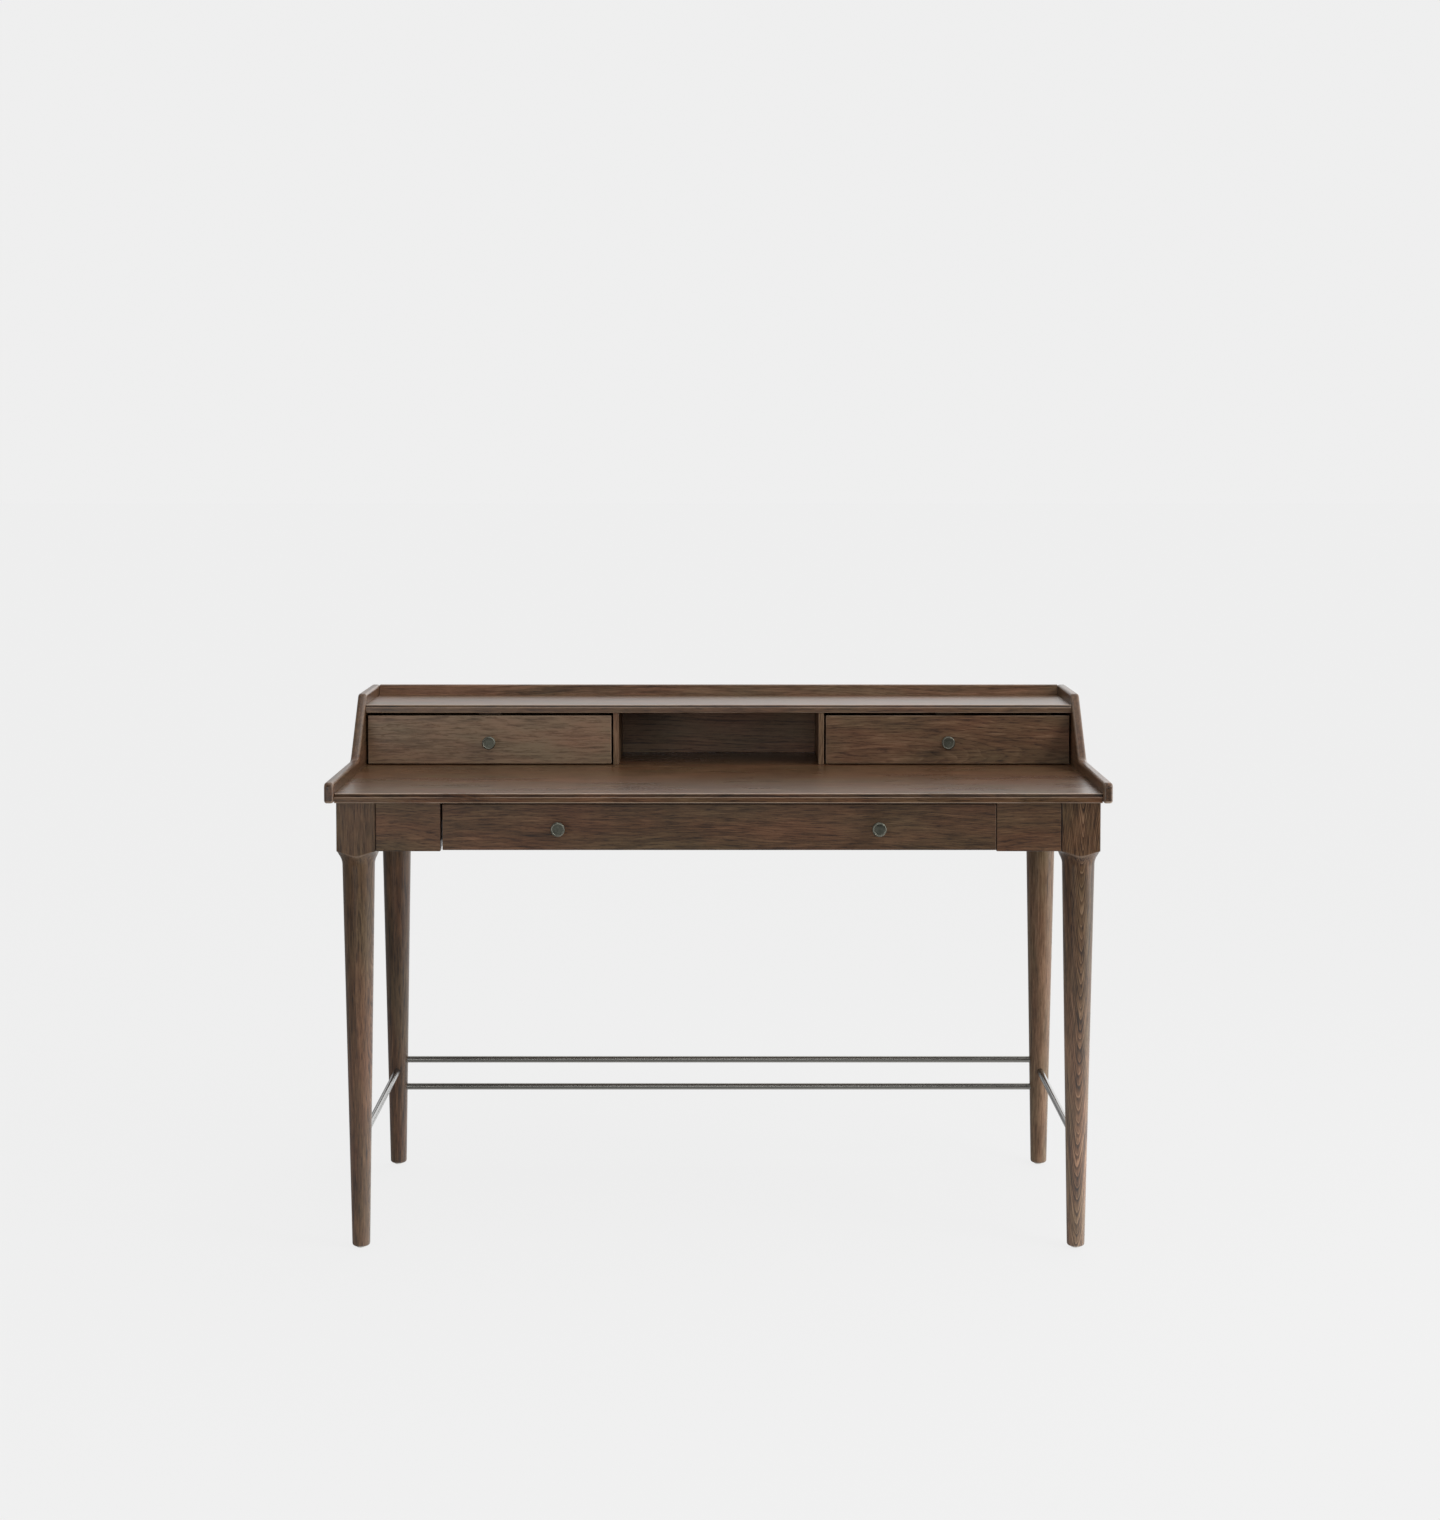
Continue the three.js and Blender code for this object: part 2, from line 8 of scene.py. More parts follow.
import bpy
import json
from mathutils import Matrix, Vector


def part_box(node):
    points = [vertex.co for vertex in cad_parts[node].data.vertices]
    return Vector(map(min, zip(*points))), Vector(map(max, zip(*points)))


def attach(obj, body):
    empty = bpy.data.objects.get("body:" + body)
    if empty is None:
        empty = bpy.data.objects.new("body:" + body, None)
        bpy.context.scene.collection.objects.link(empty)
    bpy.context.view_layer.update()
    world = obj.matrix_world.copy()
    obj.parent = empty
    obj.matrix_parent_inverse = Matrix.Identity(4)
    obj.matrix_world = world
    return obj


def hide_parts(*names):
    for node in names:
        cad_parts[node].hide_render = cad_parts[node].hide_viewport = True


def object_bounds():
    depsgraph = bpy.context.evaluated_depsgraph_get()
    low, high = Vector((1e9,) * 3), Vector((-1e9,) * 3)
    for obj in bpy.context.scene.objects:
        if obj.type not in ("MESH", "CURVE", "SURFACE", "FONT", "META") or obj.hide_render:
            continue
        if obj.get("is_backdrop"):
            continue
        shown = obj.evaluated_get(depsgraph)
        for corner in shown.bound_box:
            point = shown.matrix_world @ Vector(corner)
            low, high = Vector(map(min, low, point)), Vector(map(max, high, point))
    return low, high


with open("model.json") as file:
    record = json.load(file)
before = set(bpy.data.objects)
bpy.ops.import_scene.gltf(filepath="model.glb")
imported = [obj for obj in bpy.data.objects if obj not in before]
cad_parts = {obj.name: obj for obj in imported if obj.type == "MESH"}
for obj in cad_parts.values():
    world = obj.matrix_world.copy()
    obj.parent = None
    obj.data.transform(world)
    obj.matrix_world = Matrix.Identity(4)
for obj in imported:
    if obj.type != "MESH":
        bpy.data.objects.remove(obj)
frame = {"record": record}
cad_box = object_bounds()


def rounded(place):
    return tuple(round(part, 3) for part in place)


print("whole desk from", rounded(cad_box[0]), "to", rounded(cad_box[1]))

# %% [markdown]
# The record says which body each node rides on and which material slot it takes. A small look-up table
# saves writing the body down again for every piece.

# %% A look-up table
import json
import math

import bmesh
import bpy
from mathutils import Vector

body_of = {node: body for body, nodes in frame["record"]["behaviour"]["bodies"].items() for node in nodes}

# %% [markdown]
# The camera comes first. It stands well back, at about a standing person's eye height, and looks slightly
# down, so upright legs stay nearly upright. The desk sits low in the frame, which is a small vertical shift
# of the lens and not a steeper tilt.

# %% Camera
EYE_HEIGHT = 1.359
EYE_BEFORE_PANEL_TIPS = 4.310
EYE_SIDEWAYS = 0.0026
LOOK_DOWN = math.radians(2.86)
LENS = 61.4           # in millimetres, as the camera wants it
SENSOR_WIDTH = 36.0
LENS_SHIFT = -0.1196


def add_object(name, data):
    """An object with this mesh, lamp or camera, placed in the scene."""
    made = bpy.data.objects.new(name, data)
    bpy.context.scene.collection.objects.link(made)
    return made


panel_tips_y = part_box("side_panel_left")[0].y
camera_data = bpy.data.cameras.new("camera")
camera_data.lens = LENS
camera_data.sensor_width = SENSOR_WIDTH
camera_data.shift_y = LENS_SHIFT
camera = add_object("camera", camera_data)
camera.location = (EYE_SIDEWAYS, panel_tips_y - EYE_BEFORE_PANEL_TIPS, EYE_HEIGHT)
camera.rotation_euler = (math.radians(90) - LOOK_DOWN, 0, 0)
bpy.context.scene.camera = camera
print("camera at", rounded(camera.location))

# %% [markdown]
# Shader maths reads best as Python. `Socket` wraps one output of a node, and each operator on it adds a
# Math node, also when the number comes first, as in `1 - mask`. Every other node comes from one method,
# `node`, which sets the node's own settings first and then fills or links its sockets. The same two classes
# serve materials and geometry trees.

# %% Node helpers
class Socket:
    """One output of a node, which can be used in a Python expression."""

    def __init__(self, wiring, socket):
        self.wiring = wiring
        self.socket = socket

    def __add__(self, other):
        return self.wiring.math("ADD", self, other)

    def __sub__(self, other):
        return self.wiring.math("SUBTRACT", self, other)

    def __rsub__(self, other):
        return self.wiring.math("SUBTRACT", other, self)

    def __mul__(self, other):
        return self.wiring.math("MULTIPLY", self, other)

    def __truediv__(self, other):
        return self.wiring.math("DIVIDE", self, other)

    def __rtruediv__(self, other):
        return self.wiring.math("DIVIDE", other, self)

    __radd__ = __add__
    __rmul__ = __mul__


class Wiring:
    """Adds nodes to one tree."""

    def __init__(self, tree):
        self.tree = tree

    def node(self, kind, settings=None, sockets=None, output=0):
        made = self.tree.nodes.new(kind)
        for name, value in (settings or {}).items():
            if name == "stops":
                self.set_stops(made.color_ramp, value)
            else:
                setattr(made, name, value)
        self.fill(made, sockets or {})
        return Socket(self, made.outputs[output]) if made.outputs else None

    def fill(self, node, sockets):
        """Links each named input of the node to a Socket, or sets it to a plain value."""
        for key, value in sockets.items():
            if isinstance(value, Socket):
                self.tree.links.new(value.socket, node.inputs[key])
            else:
                node.inputs[key].default_value = value

    def set_stops(self, ramp, stops):
        while len(ramp.elements) < len(stops):
            ramp.elements.new(0.5)
        for element, (position, colour) in zip(ramp.elements, stops):
            element.position = position
            element.color = (*colour, 1.0)

    def math(self, operation, *values):
        return self.node("ShaderNodeMath", {"operation": operation}, dict(enumerate(values)))

    def clamp(self, value):
        return self.node("ShaderNodeClamp", {}, {"Value": value})

    def vector(self, x, y, z):
        return self.node("ShaderNodeCombineXYZ", {}, {"X": x, "Y": y, "Z": z})

    def split(self, vector):
        made = self.node("ShaderNodeSeparateXYZ", {}, {"Vector": vector}).socket.node
        return [Socket(self, output) for output in made.outputs]

    def noise(self, vector, scale=1.0, detail=2.0, roughness=0.5, output="Fac"):
        sockets = {"Vector": vector, "Scale": scale, "Detail": detail, "Roughness": roughness}
        return self.node("ShaderNodeTexNoise", {"noise_dimensions": "3D"}, sockets, output)

    def step(self, value, low, high):
        """0 below `low`, 1 above `high`, smooth between."""
        settings = {"interpolation_type": "SMOOTHSTEP"}
        return self.node("ShaderNodeMapRange", settings, {"Value": value, "From Min": low, "From Max": high})

    def mix(self, share, first, second, blend="MIX"):
        """Mixes two colours."""
        settings = {"data_type": "RGBA", "blend_type": blend}
        return self.node("ShaderNodeMix", settings, {0: share, 6: first, 7: second}, 2)

    def place(self):
        """Where the shaded point lies on its object."""
        return self.node("ShaderNodeTexCoord", {}, {}, "Object")

    def arris(self):
        return self.node("ShaderNodeAttribute", {"attribute_name": "arris"}, {}, "Fac")

    def bump(self, strength, depth, height):
        sockets = {"Strength": strength, "Distance": depth, "Height": height}
        return self.node("ShaderNodeBump", {}, sockets, "Normal")


def new_material(name):
    material = bpy.data.materials.new(name)
    material.use_nodes = True
    wiring = Wiring(material.node_tree)
    shader = material.node_tree.nodes["Principled BSDF"]
    return material, wiring, shader


print("node helpers ready")

# %% [markdown]
# Oak is made as it grows. The tree's rings are a distance from the pith, a line that runs along the board
# some way off to one side and wanders a little. Where a flat board cuts through that wandering stack of
# rings, the arched cathedral figure appears by itself, and on a tapered leg too. The alternative, a flat
# picture of grain laid on each face, shows the same stripes on every side and ends at each edge. Each ring
# starts with a band of open pores that drink the stain and turn dark, and it ends in hard wood whose last
# line is brushed pale. Wet and dry years differ, so whole groups of rings are darker or paler. Over that
# come short dark flecks and pore dashes, fibre streaks of two sizes, soft blotches where the stain took
# unevenly, and a slow drift between red and olive brown. End grain drinks the most stain, so a face that
# looks along the grain is darker. `arris` is an attribute of each piece: 1 in the middle of a rounded edge
# that is painted pale, partly as wear from hands and partly as a painted highlight, 0 on the flats, and
# below 0 where the colour is painted darker: in joints and on the corners of the leg heads, partly as
# gathered stain and partly as painted shade, and along the chamfer of the desktop's and the shelf's nose.

# %% Oak
STAIN_STOPS = [
    (0.00, (0.014, 0.008, 0.005)),
    (0.30, (0.042, 0.022, 0.012)),
    (0.55, (0.083, 0.045, 0.0235)),
    (0.78, (0.128, 0.073, 0.040)),
    (1.00, (0.200, 0.124, 0.077)),
]
# The colour of pale arrises: partly rubbed wear, partly a painted highlight.
RUBBED_AND_LIT_OAK = (0.36, 0.265, 0.195, 1.0)
# A grey tint added towards a leg's foot: painted light from the pale floor.
FLOOR_LIGHT_TINT = (0.050, 0.060, 0.065, 1.0)
END_GRAIN_DEPTH = 0.16
# How much darker the colour is painted where the arris value is below 0.
DARK_EDGE_DEPTH = 0.34
GRAIN_AXES = {"x": (0, 1, 2), "y": (1, 0, 2), "z": (2, 0, 1)}
ALONG, ACROSS, DEEP = 0, 1, 2
RING_WOBBLE = 0.009       # a fine wobble on top of each board's own `wander`
YEAR_GROUPS = 190.0       # how fast wet and dry years change, per metre of radius
PORE_DEPTH = 0.00025
FLOOR_LIGHT_ENDS = 0.70     # the height where a leg's paler foot has faded out


def oak(name, grain, pith, seed, lean=(0.0, 0.0), cone=0.0, wander=0.11, ring_gap=0.0020, figure=1.0,
        tone=0.0, red=0.0, rub_and_highlight=0.7, roughness=0.42, floor_light_paint=0.0, relief=0.32, gloss=0.32):
    """Stained oak with its grain along one axis. `pith` is where the rings' centre lies on the other two
    axes, and `lean` is how far it moves along them for each metre of grain. Rings are nested cones, not
    tubes: `cone` is how much they narrow for each metre."""
    material, wire, shader = new_material(name)
    axes = wire.split(wire.place())
    along, across, deep = (axes[index] for index in GRAIN_AXES[grain])

    def grain_noise(shifted, scales, detail, rough, output="Fac"):
        """Noise with its own scale along, across and deep, shifted by the board's seed on one of them."""
        parts = [part * scale for part, scale in zip((along, across, deep), scales)]
        parts[shifted] = parts[shifted] + seed
        return wire.noise(wire.vector(*parts), 1.0, detail, rough, output)

    slow = grain_noise(ALONG, (1.3, 0.8, 0.8), 1.0, 0.5, "Color")
    bend = grain_noise(ACROSS, (6.0, 30.0, 30.0), 3.0, 0.55, "Color")
    slow_x, slow_y, slow_z = wire.split(slow)
    bend_x, bend_y, _ = wire.split(bend)
    ring_x = across - pith[0] - along * lean[0] + (slow_x - 0.5) * wander + (bend_x - 0.5) * RING_WOBBLE
    ring_y = deep - pith[1] - along * lean[1] + (slow_y - 0.5) * wander + (bend_y - 0.5) * RING_WOBBLE
    radius = wire.math("SQRT", ring_x * ring_x + ring_y * ring_y) + along * cone
    phase = wire.math("FRACT", radius / ring_gap + slow_z * 3.0)
    spring = (1 - wire.step(phase, 0.10, 0.55)) * wire.step(phase, 0.0, 0.06)
    late = wire.step(phase, 0.80, 0.92) * (1 - wire.step(phase, 0.95, 1.0))
    years = wire.noise(wire.vector(radius * YEAR_GROUPS, seed, slow_z * 4.0), 1.0, 4.0, 0.72)

    fibre = grain_noise(ALONG, (30.0, 640.0, 640.0), 3.0, 0.6)
    streak = grain_noise(ALONG, (17.0, 230.0, 210.0), 3.0, 0.62)
    dashes = grain_noise(ACROSS, (110.0, 1500.0, 1500.0), 1.0, 0.5)
    pores = wire.step(dashes, 0.54, 0.64) * (spring * 0.75 + 0.25)
    flecks = wire.step(grain_noise(DEEP, (34.0, 430.0, 430.0), 2.0, 0.55), 0.52, 0.70)
    blotch = grain_noise(ALONG, (4.5, 24.0, 24.0), 4.0, 0.6)
    drift = grain_noise(DEEP, (5.0, 20.0, 20.0), 3.0, 0.6)

    rings = (late * 0.11 - spring * 0.16 + (years - 0.5) * 0.85) * figure
    patches = (blotch - 0.5) * 0.46 + (streak - 0.5) * 0.95 + (fibre - 0.5) * 0.55
    level = 0.64 + tone + rings + patches - pores * 0.25 - flecks * 0.28
    facing = wire.split(wire.node("ShaderNodeNewGeometry", {}, {}, "Normal"))[GRAIN_AXES[grain][0]]
    level = level - wire.step(facing * facing, 0.3, 1.0) * END_GRAIN_DEPTH
    arris = wire.arris()
    # Below-zero arris is painted darker: at joints and leg-head corners partly stain and partly painted
    # shade, and along the chamfers of the noses.
    level = level - wire.clamp(0 - arris) * DARK_EDGE_DEPTH
    stain = wire.node("ShaderNodeValToRGB", {"stops": STAIN_STOPS}, {"Fac": wire.clamp(level)})
    redness = wire.clamp((drift - 0.5) * 3.0 + 0.45 + red)
    tinted = wire.mix(redness, (0.93, 1.02, 0.93, 1.0), (1.15, 0.96, 0.88, 1.0))
    colour = wire.mix(1.0, stain, tinted, "MULTIPLY")
    # Painted floor light: towards the foot the colour is made paler and greyer, standing for light from the
    # pale floor.
    if floor_light_paint:
        floor_lit = (1 - wire.step(along, 0.10, FLOOR_LIGHT_ENDS)) * floor_light_paint
        gain = floor_lit + 1
        colour = wire.mix(1.0, colour, wire.vector(gain, gain, gain), "MULTIPLY")
        colour = wire.mix(floor_lit, colour, FLOOR_LIGHT_TINT, "ADD")
    # Pale arrises: partly rubbed wear, partly a painted highlight where the edges catch the light.
    pale_edge = wire.clamp(wire.step(blotch, 0.26, 0.52) * arris * rub_and_highlight * 1.4)
    uneven = (blotch - 0.5) * 0.7 * relief + pores * 0.5 * relief
    height = fibre * 0.35 - pores * 0.9 - spring * 0.3 + late * 0.2
    wire.fill(shader, {
        "Base Color": wire.mix(pale_edge, colour, RUBBED_AND_LIT_OAK),
        "Roughness": wire.clamp(roughness + uneven),
        "Specular IOR Level": gloss,
        "Normal": wire.bump(relief, PORE_DEPTH, height),
    })
    return material


oak_desktop = oak("oak_desktop", "x", (0.05, 0.50), 3.1, figure=0.5, red=0.15, rub_and_highlight=1.0,
                  roughness=0.28, relief=0.10, gloss=0.30)
oak_shelf = oak("oak_shelf", "x", (0.22, 0.60), 7.7, figure=0.5, tone=0.04, red=0.1, rub_and_highlight=1.0,
                roughness=0.36, relief=0.08, gloss=0.5)
# The back panel, the upper drawer fronts and the dividers get paler tones, partly their own wood and partly
# painted light: on the back panel, light into the shaded hollow under the shelf; on the fronts and dividers,
# light falling on the upper fronts. The left front's greyer tint is partly a painted veil of light from the
# left.
oak_back_panel = oak("oak_back_panel", "x", (0.26, 0.52), 12.4, figure=2.7, tone=0.32, red=0.20)
oak_left_front = oak("oak_left_drawer_front", "x", (-0.20, 0.90), 17.3, figure=0.35, tone=0.31, red=-0.10,
                     gloss=0.5)
oak_right_front = oak("oak_right_drawer_front", "x", (0.30, 0.72), 23.8, lean=(0.0, 0.10), figure=0.55,
                      tone=0.12, red=0.05)
oak_centre_front = oak("oak_centre_drawer_front", "x", (-0.50, 0.60), 31.9, figure=0.5, tone=-0.07, red=0.05)
oak_rails = oak("oak_rails", "x", (-0.60, 0.60), 36.2, figure=0.5, tone=-0.04)
oak_dividers = oak("oak_dividers", "z", (0.0, 0.70), 44.0, figure=0.3, tone=0.19)
oak_side_grain = oak("oak_side_boards", "y", (0.0, 0.60), 41.5, figure=0.6, tone=-0.04, red=0.15,
                     roughness=0.34, relief=0.16, gloss=0.45)
print("oak for boards:", [m.name for m in bpy.data.materials if m.name.startswith("oak")])

# %% [markdown]
# Each leg is turned from its own post, so each gets its own pith. The front right post was cut close beside
# the pith, so the lathe went through one cone of wood after another. That draws nested points down the
# front of the leg. The other posts come from further out in the tree and show fine upright streaks. Towards
# the floor each leg is painted paler and greyer, more on one leg than on another: this is painted light
# from the pale floor, and a number for each leg says how much.

# %% Oak for the legs
LEG_NODES = [f"leg_{place}_{side}" for place in ("front", "back") for side in ("left", "right")]
PITH_BESIDE = {
    "leg_front_left": (-0.110, 0.030),
    "leg_front_right": (0.002, -0.022),
    "leg_back_left": (0.100, 0.010),
    "leg_back_right": (-0.105, 0.020),
}
ANY_LEG = {"ring_gap": 0.0016, "figure": 0.9, "tone": -0.02, "rub_and_highlight": 0.8, "roughness": 0.36}
THIS_LEG = {
    "leg_front_left": {"lean": (0.004, 0.002), "floor_light_paint": 0.45},
    "leg_front_right": {"lean": (0.0, -0.019), "cone": -0.13, "wander": 0.012, "ring_gap": 0.0026,
                        "figure": 1.9, "tone": 0.03, "floor_light_paint": 0.95},
    "leg_back_left": {"lean": (0.004, -0.004), "red": -0.15, "tone": -0.11, "floor_light_paint": 0.30},
    "leg_back_right": {"lean": (-0.004, 0.004), "red": -0.2, "tone": 0.21, "floor_light_paint": 0.35},
}
FIRST_LEG_SEED = 50.0
SEED_STEP = 7.3


def middle(node):
    low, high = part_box(node)
    return (low + high) / 2


oak_legs = {}
for number, node in enumerate(LEG_NODES):
    centre = middle(node)
    pith = (centre.x + PITH_BESIDE[node][0], centre.y + PITH_BESIDE[node][1])
    wood = {**ANY_LEG, **THIS_LEG[node]}
    oak_legs[node] = oak(f"oak_{node}", "z", pith, FIRST_LEG_SEED + SEED_STEP * number, **wood)
print("oak for legs:", list(oak_legs))

# %% [markdown]
# The drawer boxes are plainer wood: the same oak, thinly stained and left matt, with only faintly pale
# edges. Their bottoms are thin plywood, whose face veneer is quieter still.

# %% Wood inside the drawers
box_oak = oak("drawer_box_oak", "y", (0.1, 0.64), 63.0, tone=0.34, figure=0.6, rub_and_highlight=0.2, roughness=0.6)
box_oak_across = oak("drawer_box_oak_across", "x", (0.3, 0.60), 66.0, tone=0.34, figure=0.6, rub_and_highlight=0.2,
                     roughness=0.6)
plywood = oak("drawer_plywood", "x", (0.2, 0.2), 69.0, tone=0.42, figure=0.25, rub_and_highlight=0.1, roughness=0.62)

# %% [markdown]
# The metal is of three kinds. The knobs are aged pewter, nearly black green with paler rims, partly rubbed
# by fingers and partly a painted highlight. The rods are gunmetal steel with fine draw marks along them.
# Slides and screws are bright zinc, which is slightly cloudy. One function makes all three: a base colour,
# a colour for pale edges, partly wear and partly a painted highlight, fine scratches at a given stretch,
# and clouds that vary the roughness.

# %% Metals
def metal(name, base, pale_edge, roughness, stretch, scratch_depth, cloud=0.35, contrast=0.8):
    """A dark or bright metal. `stretch` scales the scratch noise along X, Y and Z, in marks per metre."""
    material, wire, shader = new_material(name)
    place = wire.place()
    stretched = [part * scale for part, scale in zip(wire.split(place), stretch)]
    marks = wire.noise(wire.vector(*stretched), 1.0, 3.0, 0.65)
    clouds = wire.noise(place, 90.0, 4.0, 0.6)
    grime = wire.noise(place, 420.0, 3.0, 0.6)
    arris = wire.arris()
    shade = wire.clamp(0.5 + (clouds - 0.5) * cloud * 3.0 + (marks - 0.5) * contrast)
    dark = tuple(channel * 0.62 for channel in base)
    light = tuple(channel * 1.35 for channel in base)
    body = wire.mix(shade, (*dark, 1.0), (*light, 1.0))
    # Pale edges: partly wear where fingers rub, partly a painted highlight on the rims.
    rub_and_highlight = wire.clamp(arris * (0.55 + (grime - 0.5) * 1.6))
    spread = roughness + (clouds - 0.5) * cloud - rub_and_highlight * 0.10 + (grime - 0.5) * cloud * 0.3
    wire.fill(shader, {
        "Base Color": wire.mix(rub_and_highlight, body, (*pale_edge, 1.0)),
        "Metallic": 1.0,
        "Roughness": wire.clamp(spread),
        "Normal": wire.bump(0.35, scratch_depth, marks * 0.7 + grime * cloud * 1.6),
    })
    return material


pewter = metal("aged_pewter", (0.090, 0.093, 0.076), (0.42, 0.40, 0.34), 0.42, (700, 700, 700), 0.00018,
               cloud=0.50, contrast=1.6)
gunmetal_along_x = metal("gunmetal_long_rods", (0.22, 0.215, 0.20), (0.4, 0.4, 0.38), 0.26,
                         (6, 1400, 1400), 0.000002, cloud=0.05, contrast=0.25)
gunmetal_along_y = metal("gunmetal_side_rods", (0.23, 0.23, 0.225), (0.4, 0.4, 0.38), 0.24,
                         (1400, 6, 1400), 0.000002, cloud=0.05, contrast=0.25)
zinc = metal("bright_zinc", (0.50, 0.51, 0.53), (0.7, 0.7, 0.7), 0.36, (1400, 10, 1400), 0.00003, cloud=0.25)
print("metals:", pewter.name, gunmetal_along_x.name, gunmetal_along_y.name, zinc.name)

# %% [markdown]
# The glides are pale nylon, moulded with a faint grain and scuffed by the floor. Nylon lets light through:
# a faint glow stands for the light of the pale floor inside it.

# %% Nylon
NYLON = (0.72, 0.71, 0.68, 1.0)
FLOOR_DIRT = (0.34, 0.32, 0.29, 1.0)
MOULD_DEPTH = 0.0001

nylon, wire, shader = new_material("pale_nylon")
place = wire.place()
height_above_floor = wire.split(place)[2]
scuffs = wire.noise(place, 700.0, 4.0, 0.6)
dirt = (1 - wire.step(height_above_floor, 0.0002, 0.0024)) * scuffs
moulded = wire.mix(dirt, NYLON, FLOOR_DIRT)
wire.fill(shader, {
    "Base Color": moulded,
    "Emission Color": moulded,
    "Emission Strength": 0.25,
    "Roughness": wire.clamp(0.42 + (scuffs - 0.5) * 0.5),
    "Normal": wire.bump(0.25, MOULD_DEPTH, scuffs),
})
print("plastic:", nylon.name)

# %% [markdown]
# Every piece becomes an object in the same few steps: its mesh gets the `arris` attribute, doubled points
# are merged, the faces are turned outwards and shaded smooth. Faces that look straight along an axis are
# the flat sides of boards, and those are shaded flat. `settle` then gives the piece its material, lets it
# ride on the body of the node that it stands for, and hides that plain node.

# %% Making and settling a piece
MERGE_DISTANCE = 1e-6
STRAIGHT = 0.999995       # a normal's largest part, when it looks along an axis


def make_piece(name, points, faces, arris):
    """A smooth mesh object from points, faces and one arris value for each point."""
    mesh = bpy.data.meshes.new(name)
    mesh.from_pydata(points, [], faces)
    mesh.attributes.new("arris", "FLOAT", "POINT").data.foreach_set("value", arris)
    shape = bmesh.new()
    shape.from_mesh(mesh)
    bmesh.ops.remove_doubles(shape, verts=shape.verts, dist=MERGE_DISTANCE)
    bmesh.ops.recalc_face_normals(shape, faces=shape.faces)
    shape.to_mesh(mesh)
    shape.free()
    mesh.shade_smooth()
    for polygon in mesh.polygons:
        if max(abs(part) for part in polygon.normal) > STRAIGHT:
            polygon.use_smooth = False
    return add_object(name, mesh)


def settle(piece, node, material):
    """The piece stands for that node and wears that material."""
    piece.data.materials.clear()
    piece.data.materials.append(material)
    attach(piece, body_of[node])
    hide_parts(node)


def triangles(piece):
    return sum(len(polygon.vertices) - 2 for polygon in piece.data.polygons)


# %% [markdown]
# A board's edge is never sharp: it is planed off a little, and the light catches it as a thin line. The
# board is a box whose every edge and corner is part of a small ball or barrel. A bevel would do too, but
# here the points come out where they are wanted: one more line just inside each edge keeps the big faces
# truly flat in the shading, so the satin surface reflects without a dent.

# %% Boards with eased edges
EDGE_STEPS = 3
SUPPORT = 0.002


def stations(low, high, radius):
    """Places along one axis of a board: its rounded edge, a support line, and the same at the far end."""
    shares = [1 - step / EDGE_STEPS for step in range(EDGE_STEPS + 1)]
    arc = [radius * (1 - math.tan(math.radians(45) * share)) for share in shares]
    support = min(SUPPORT, (high - low - 2 * radius) / 3)
    near = [*arc, radius + support]
    return [low + distance for distance in near] + [high - distance for distance in reversed(near)]


def eased(point, low, high, radius):
    """Pulls a point of the box's surface in to the rounded edge. Returns it with its arris value."""
    inner = Vector(min(max(point[i], low[i] + radius), high[i] - radius) for i in range(3))
    outward = (point - inner).normalized()
    flatness = max(abs(part) for part in outward)
    arris = min(1.0, (1 - flatness) / (1 - math.sqrt(0.5)))
    return inner + outward * radius, arris


def board(name, low, high, radius, edge_mark=1.0):
    """A box with rounded edges between two corners. The last number is the arris value in the middle of an
    edge: painted pale above 0, partly as wear and partly as a painted highlight, and dark below 0, partly as
    joint stain and partly as painted shade.
    """
    places = [stations(low[axis], high[axis], radius) for axis in range(3)]
    points, faces, arris = [], [], []
    for axis in range(3):
        first, second = (axis + 1) % 3, (axis + 2) % 3
        for limit in (low[axis], high[axis]):
            start = len(points)
            for a in places[first]:
                for b in places[second]:
                    point = Vector((0, 0, 0))
                    point[axis], point[first], point[second] = limit, a, b
                    point, value = eased(point, low, high, radius)
                    points.append(point)
                    arris.append(value * edge_mark)
            rows, columns = len(places[first]), len(places[second])
            for row in range(rows - 1):
                for column in range(columns - 1):
                    corner = start + row * columns + column
                    faces.append((corner, corner + columns, corner + columns + 1, corner + 1))
    return make_piece(name, points, faces, arris)


# %% [markdown]
# Most of the desk is such boards. The show faces have a fine 0.8 mm edge; the hidden frame is planed less
# carefully. The grain follows each board's length. The last number is the arris value in the middle of the
# edges: above 0 they are painted pale, partly as wear and partly as a painted highlight. The fixed panels
# beside the wide drawer are never touched, and their edges are painted dark, partly as stain in their
# joints and partly as painted shade.

# %% Boards of the frame and the drawer boxes
SHOW_EDGE = 0.0008
FRONT_EDGE = 0.0014
ROUGH_EDGE = 0.0005
SIDE_NAMES = ("left", "right")

# Below 0 an edge is painted dark, partly as stain in a joint and partly as painted shade; 1 is fully pale,
# partly wear and partly a painted highlight.
JOINT_STAIN_AND_SHADE = -0.8
TOUCHED_AND_LIT = 1.0

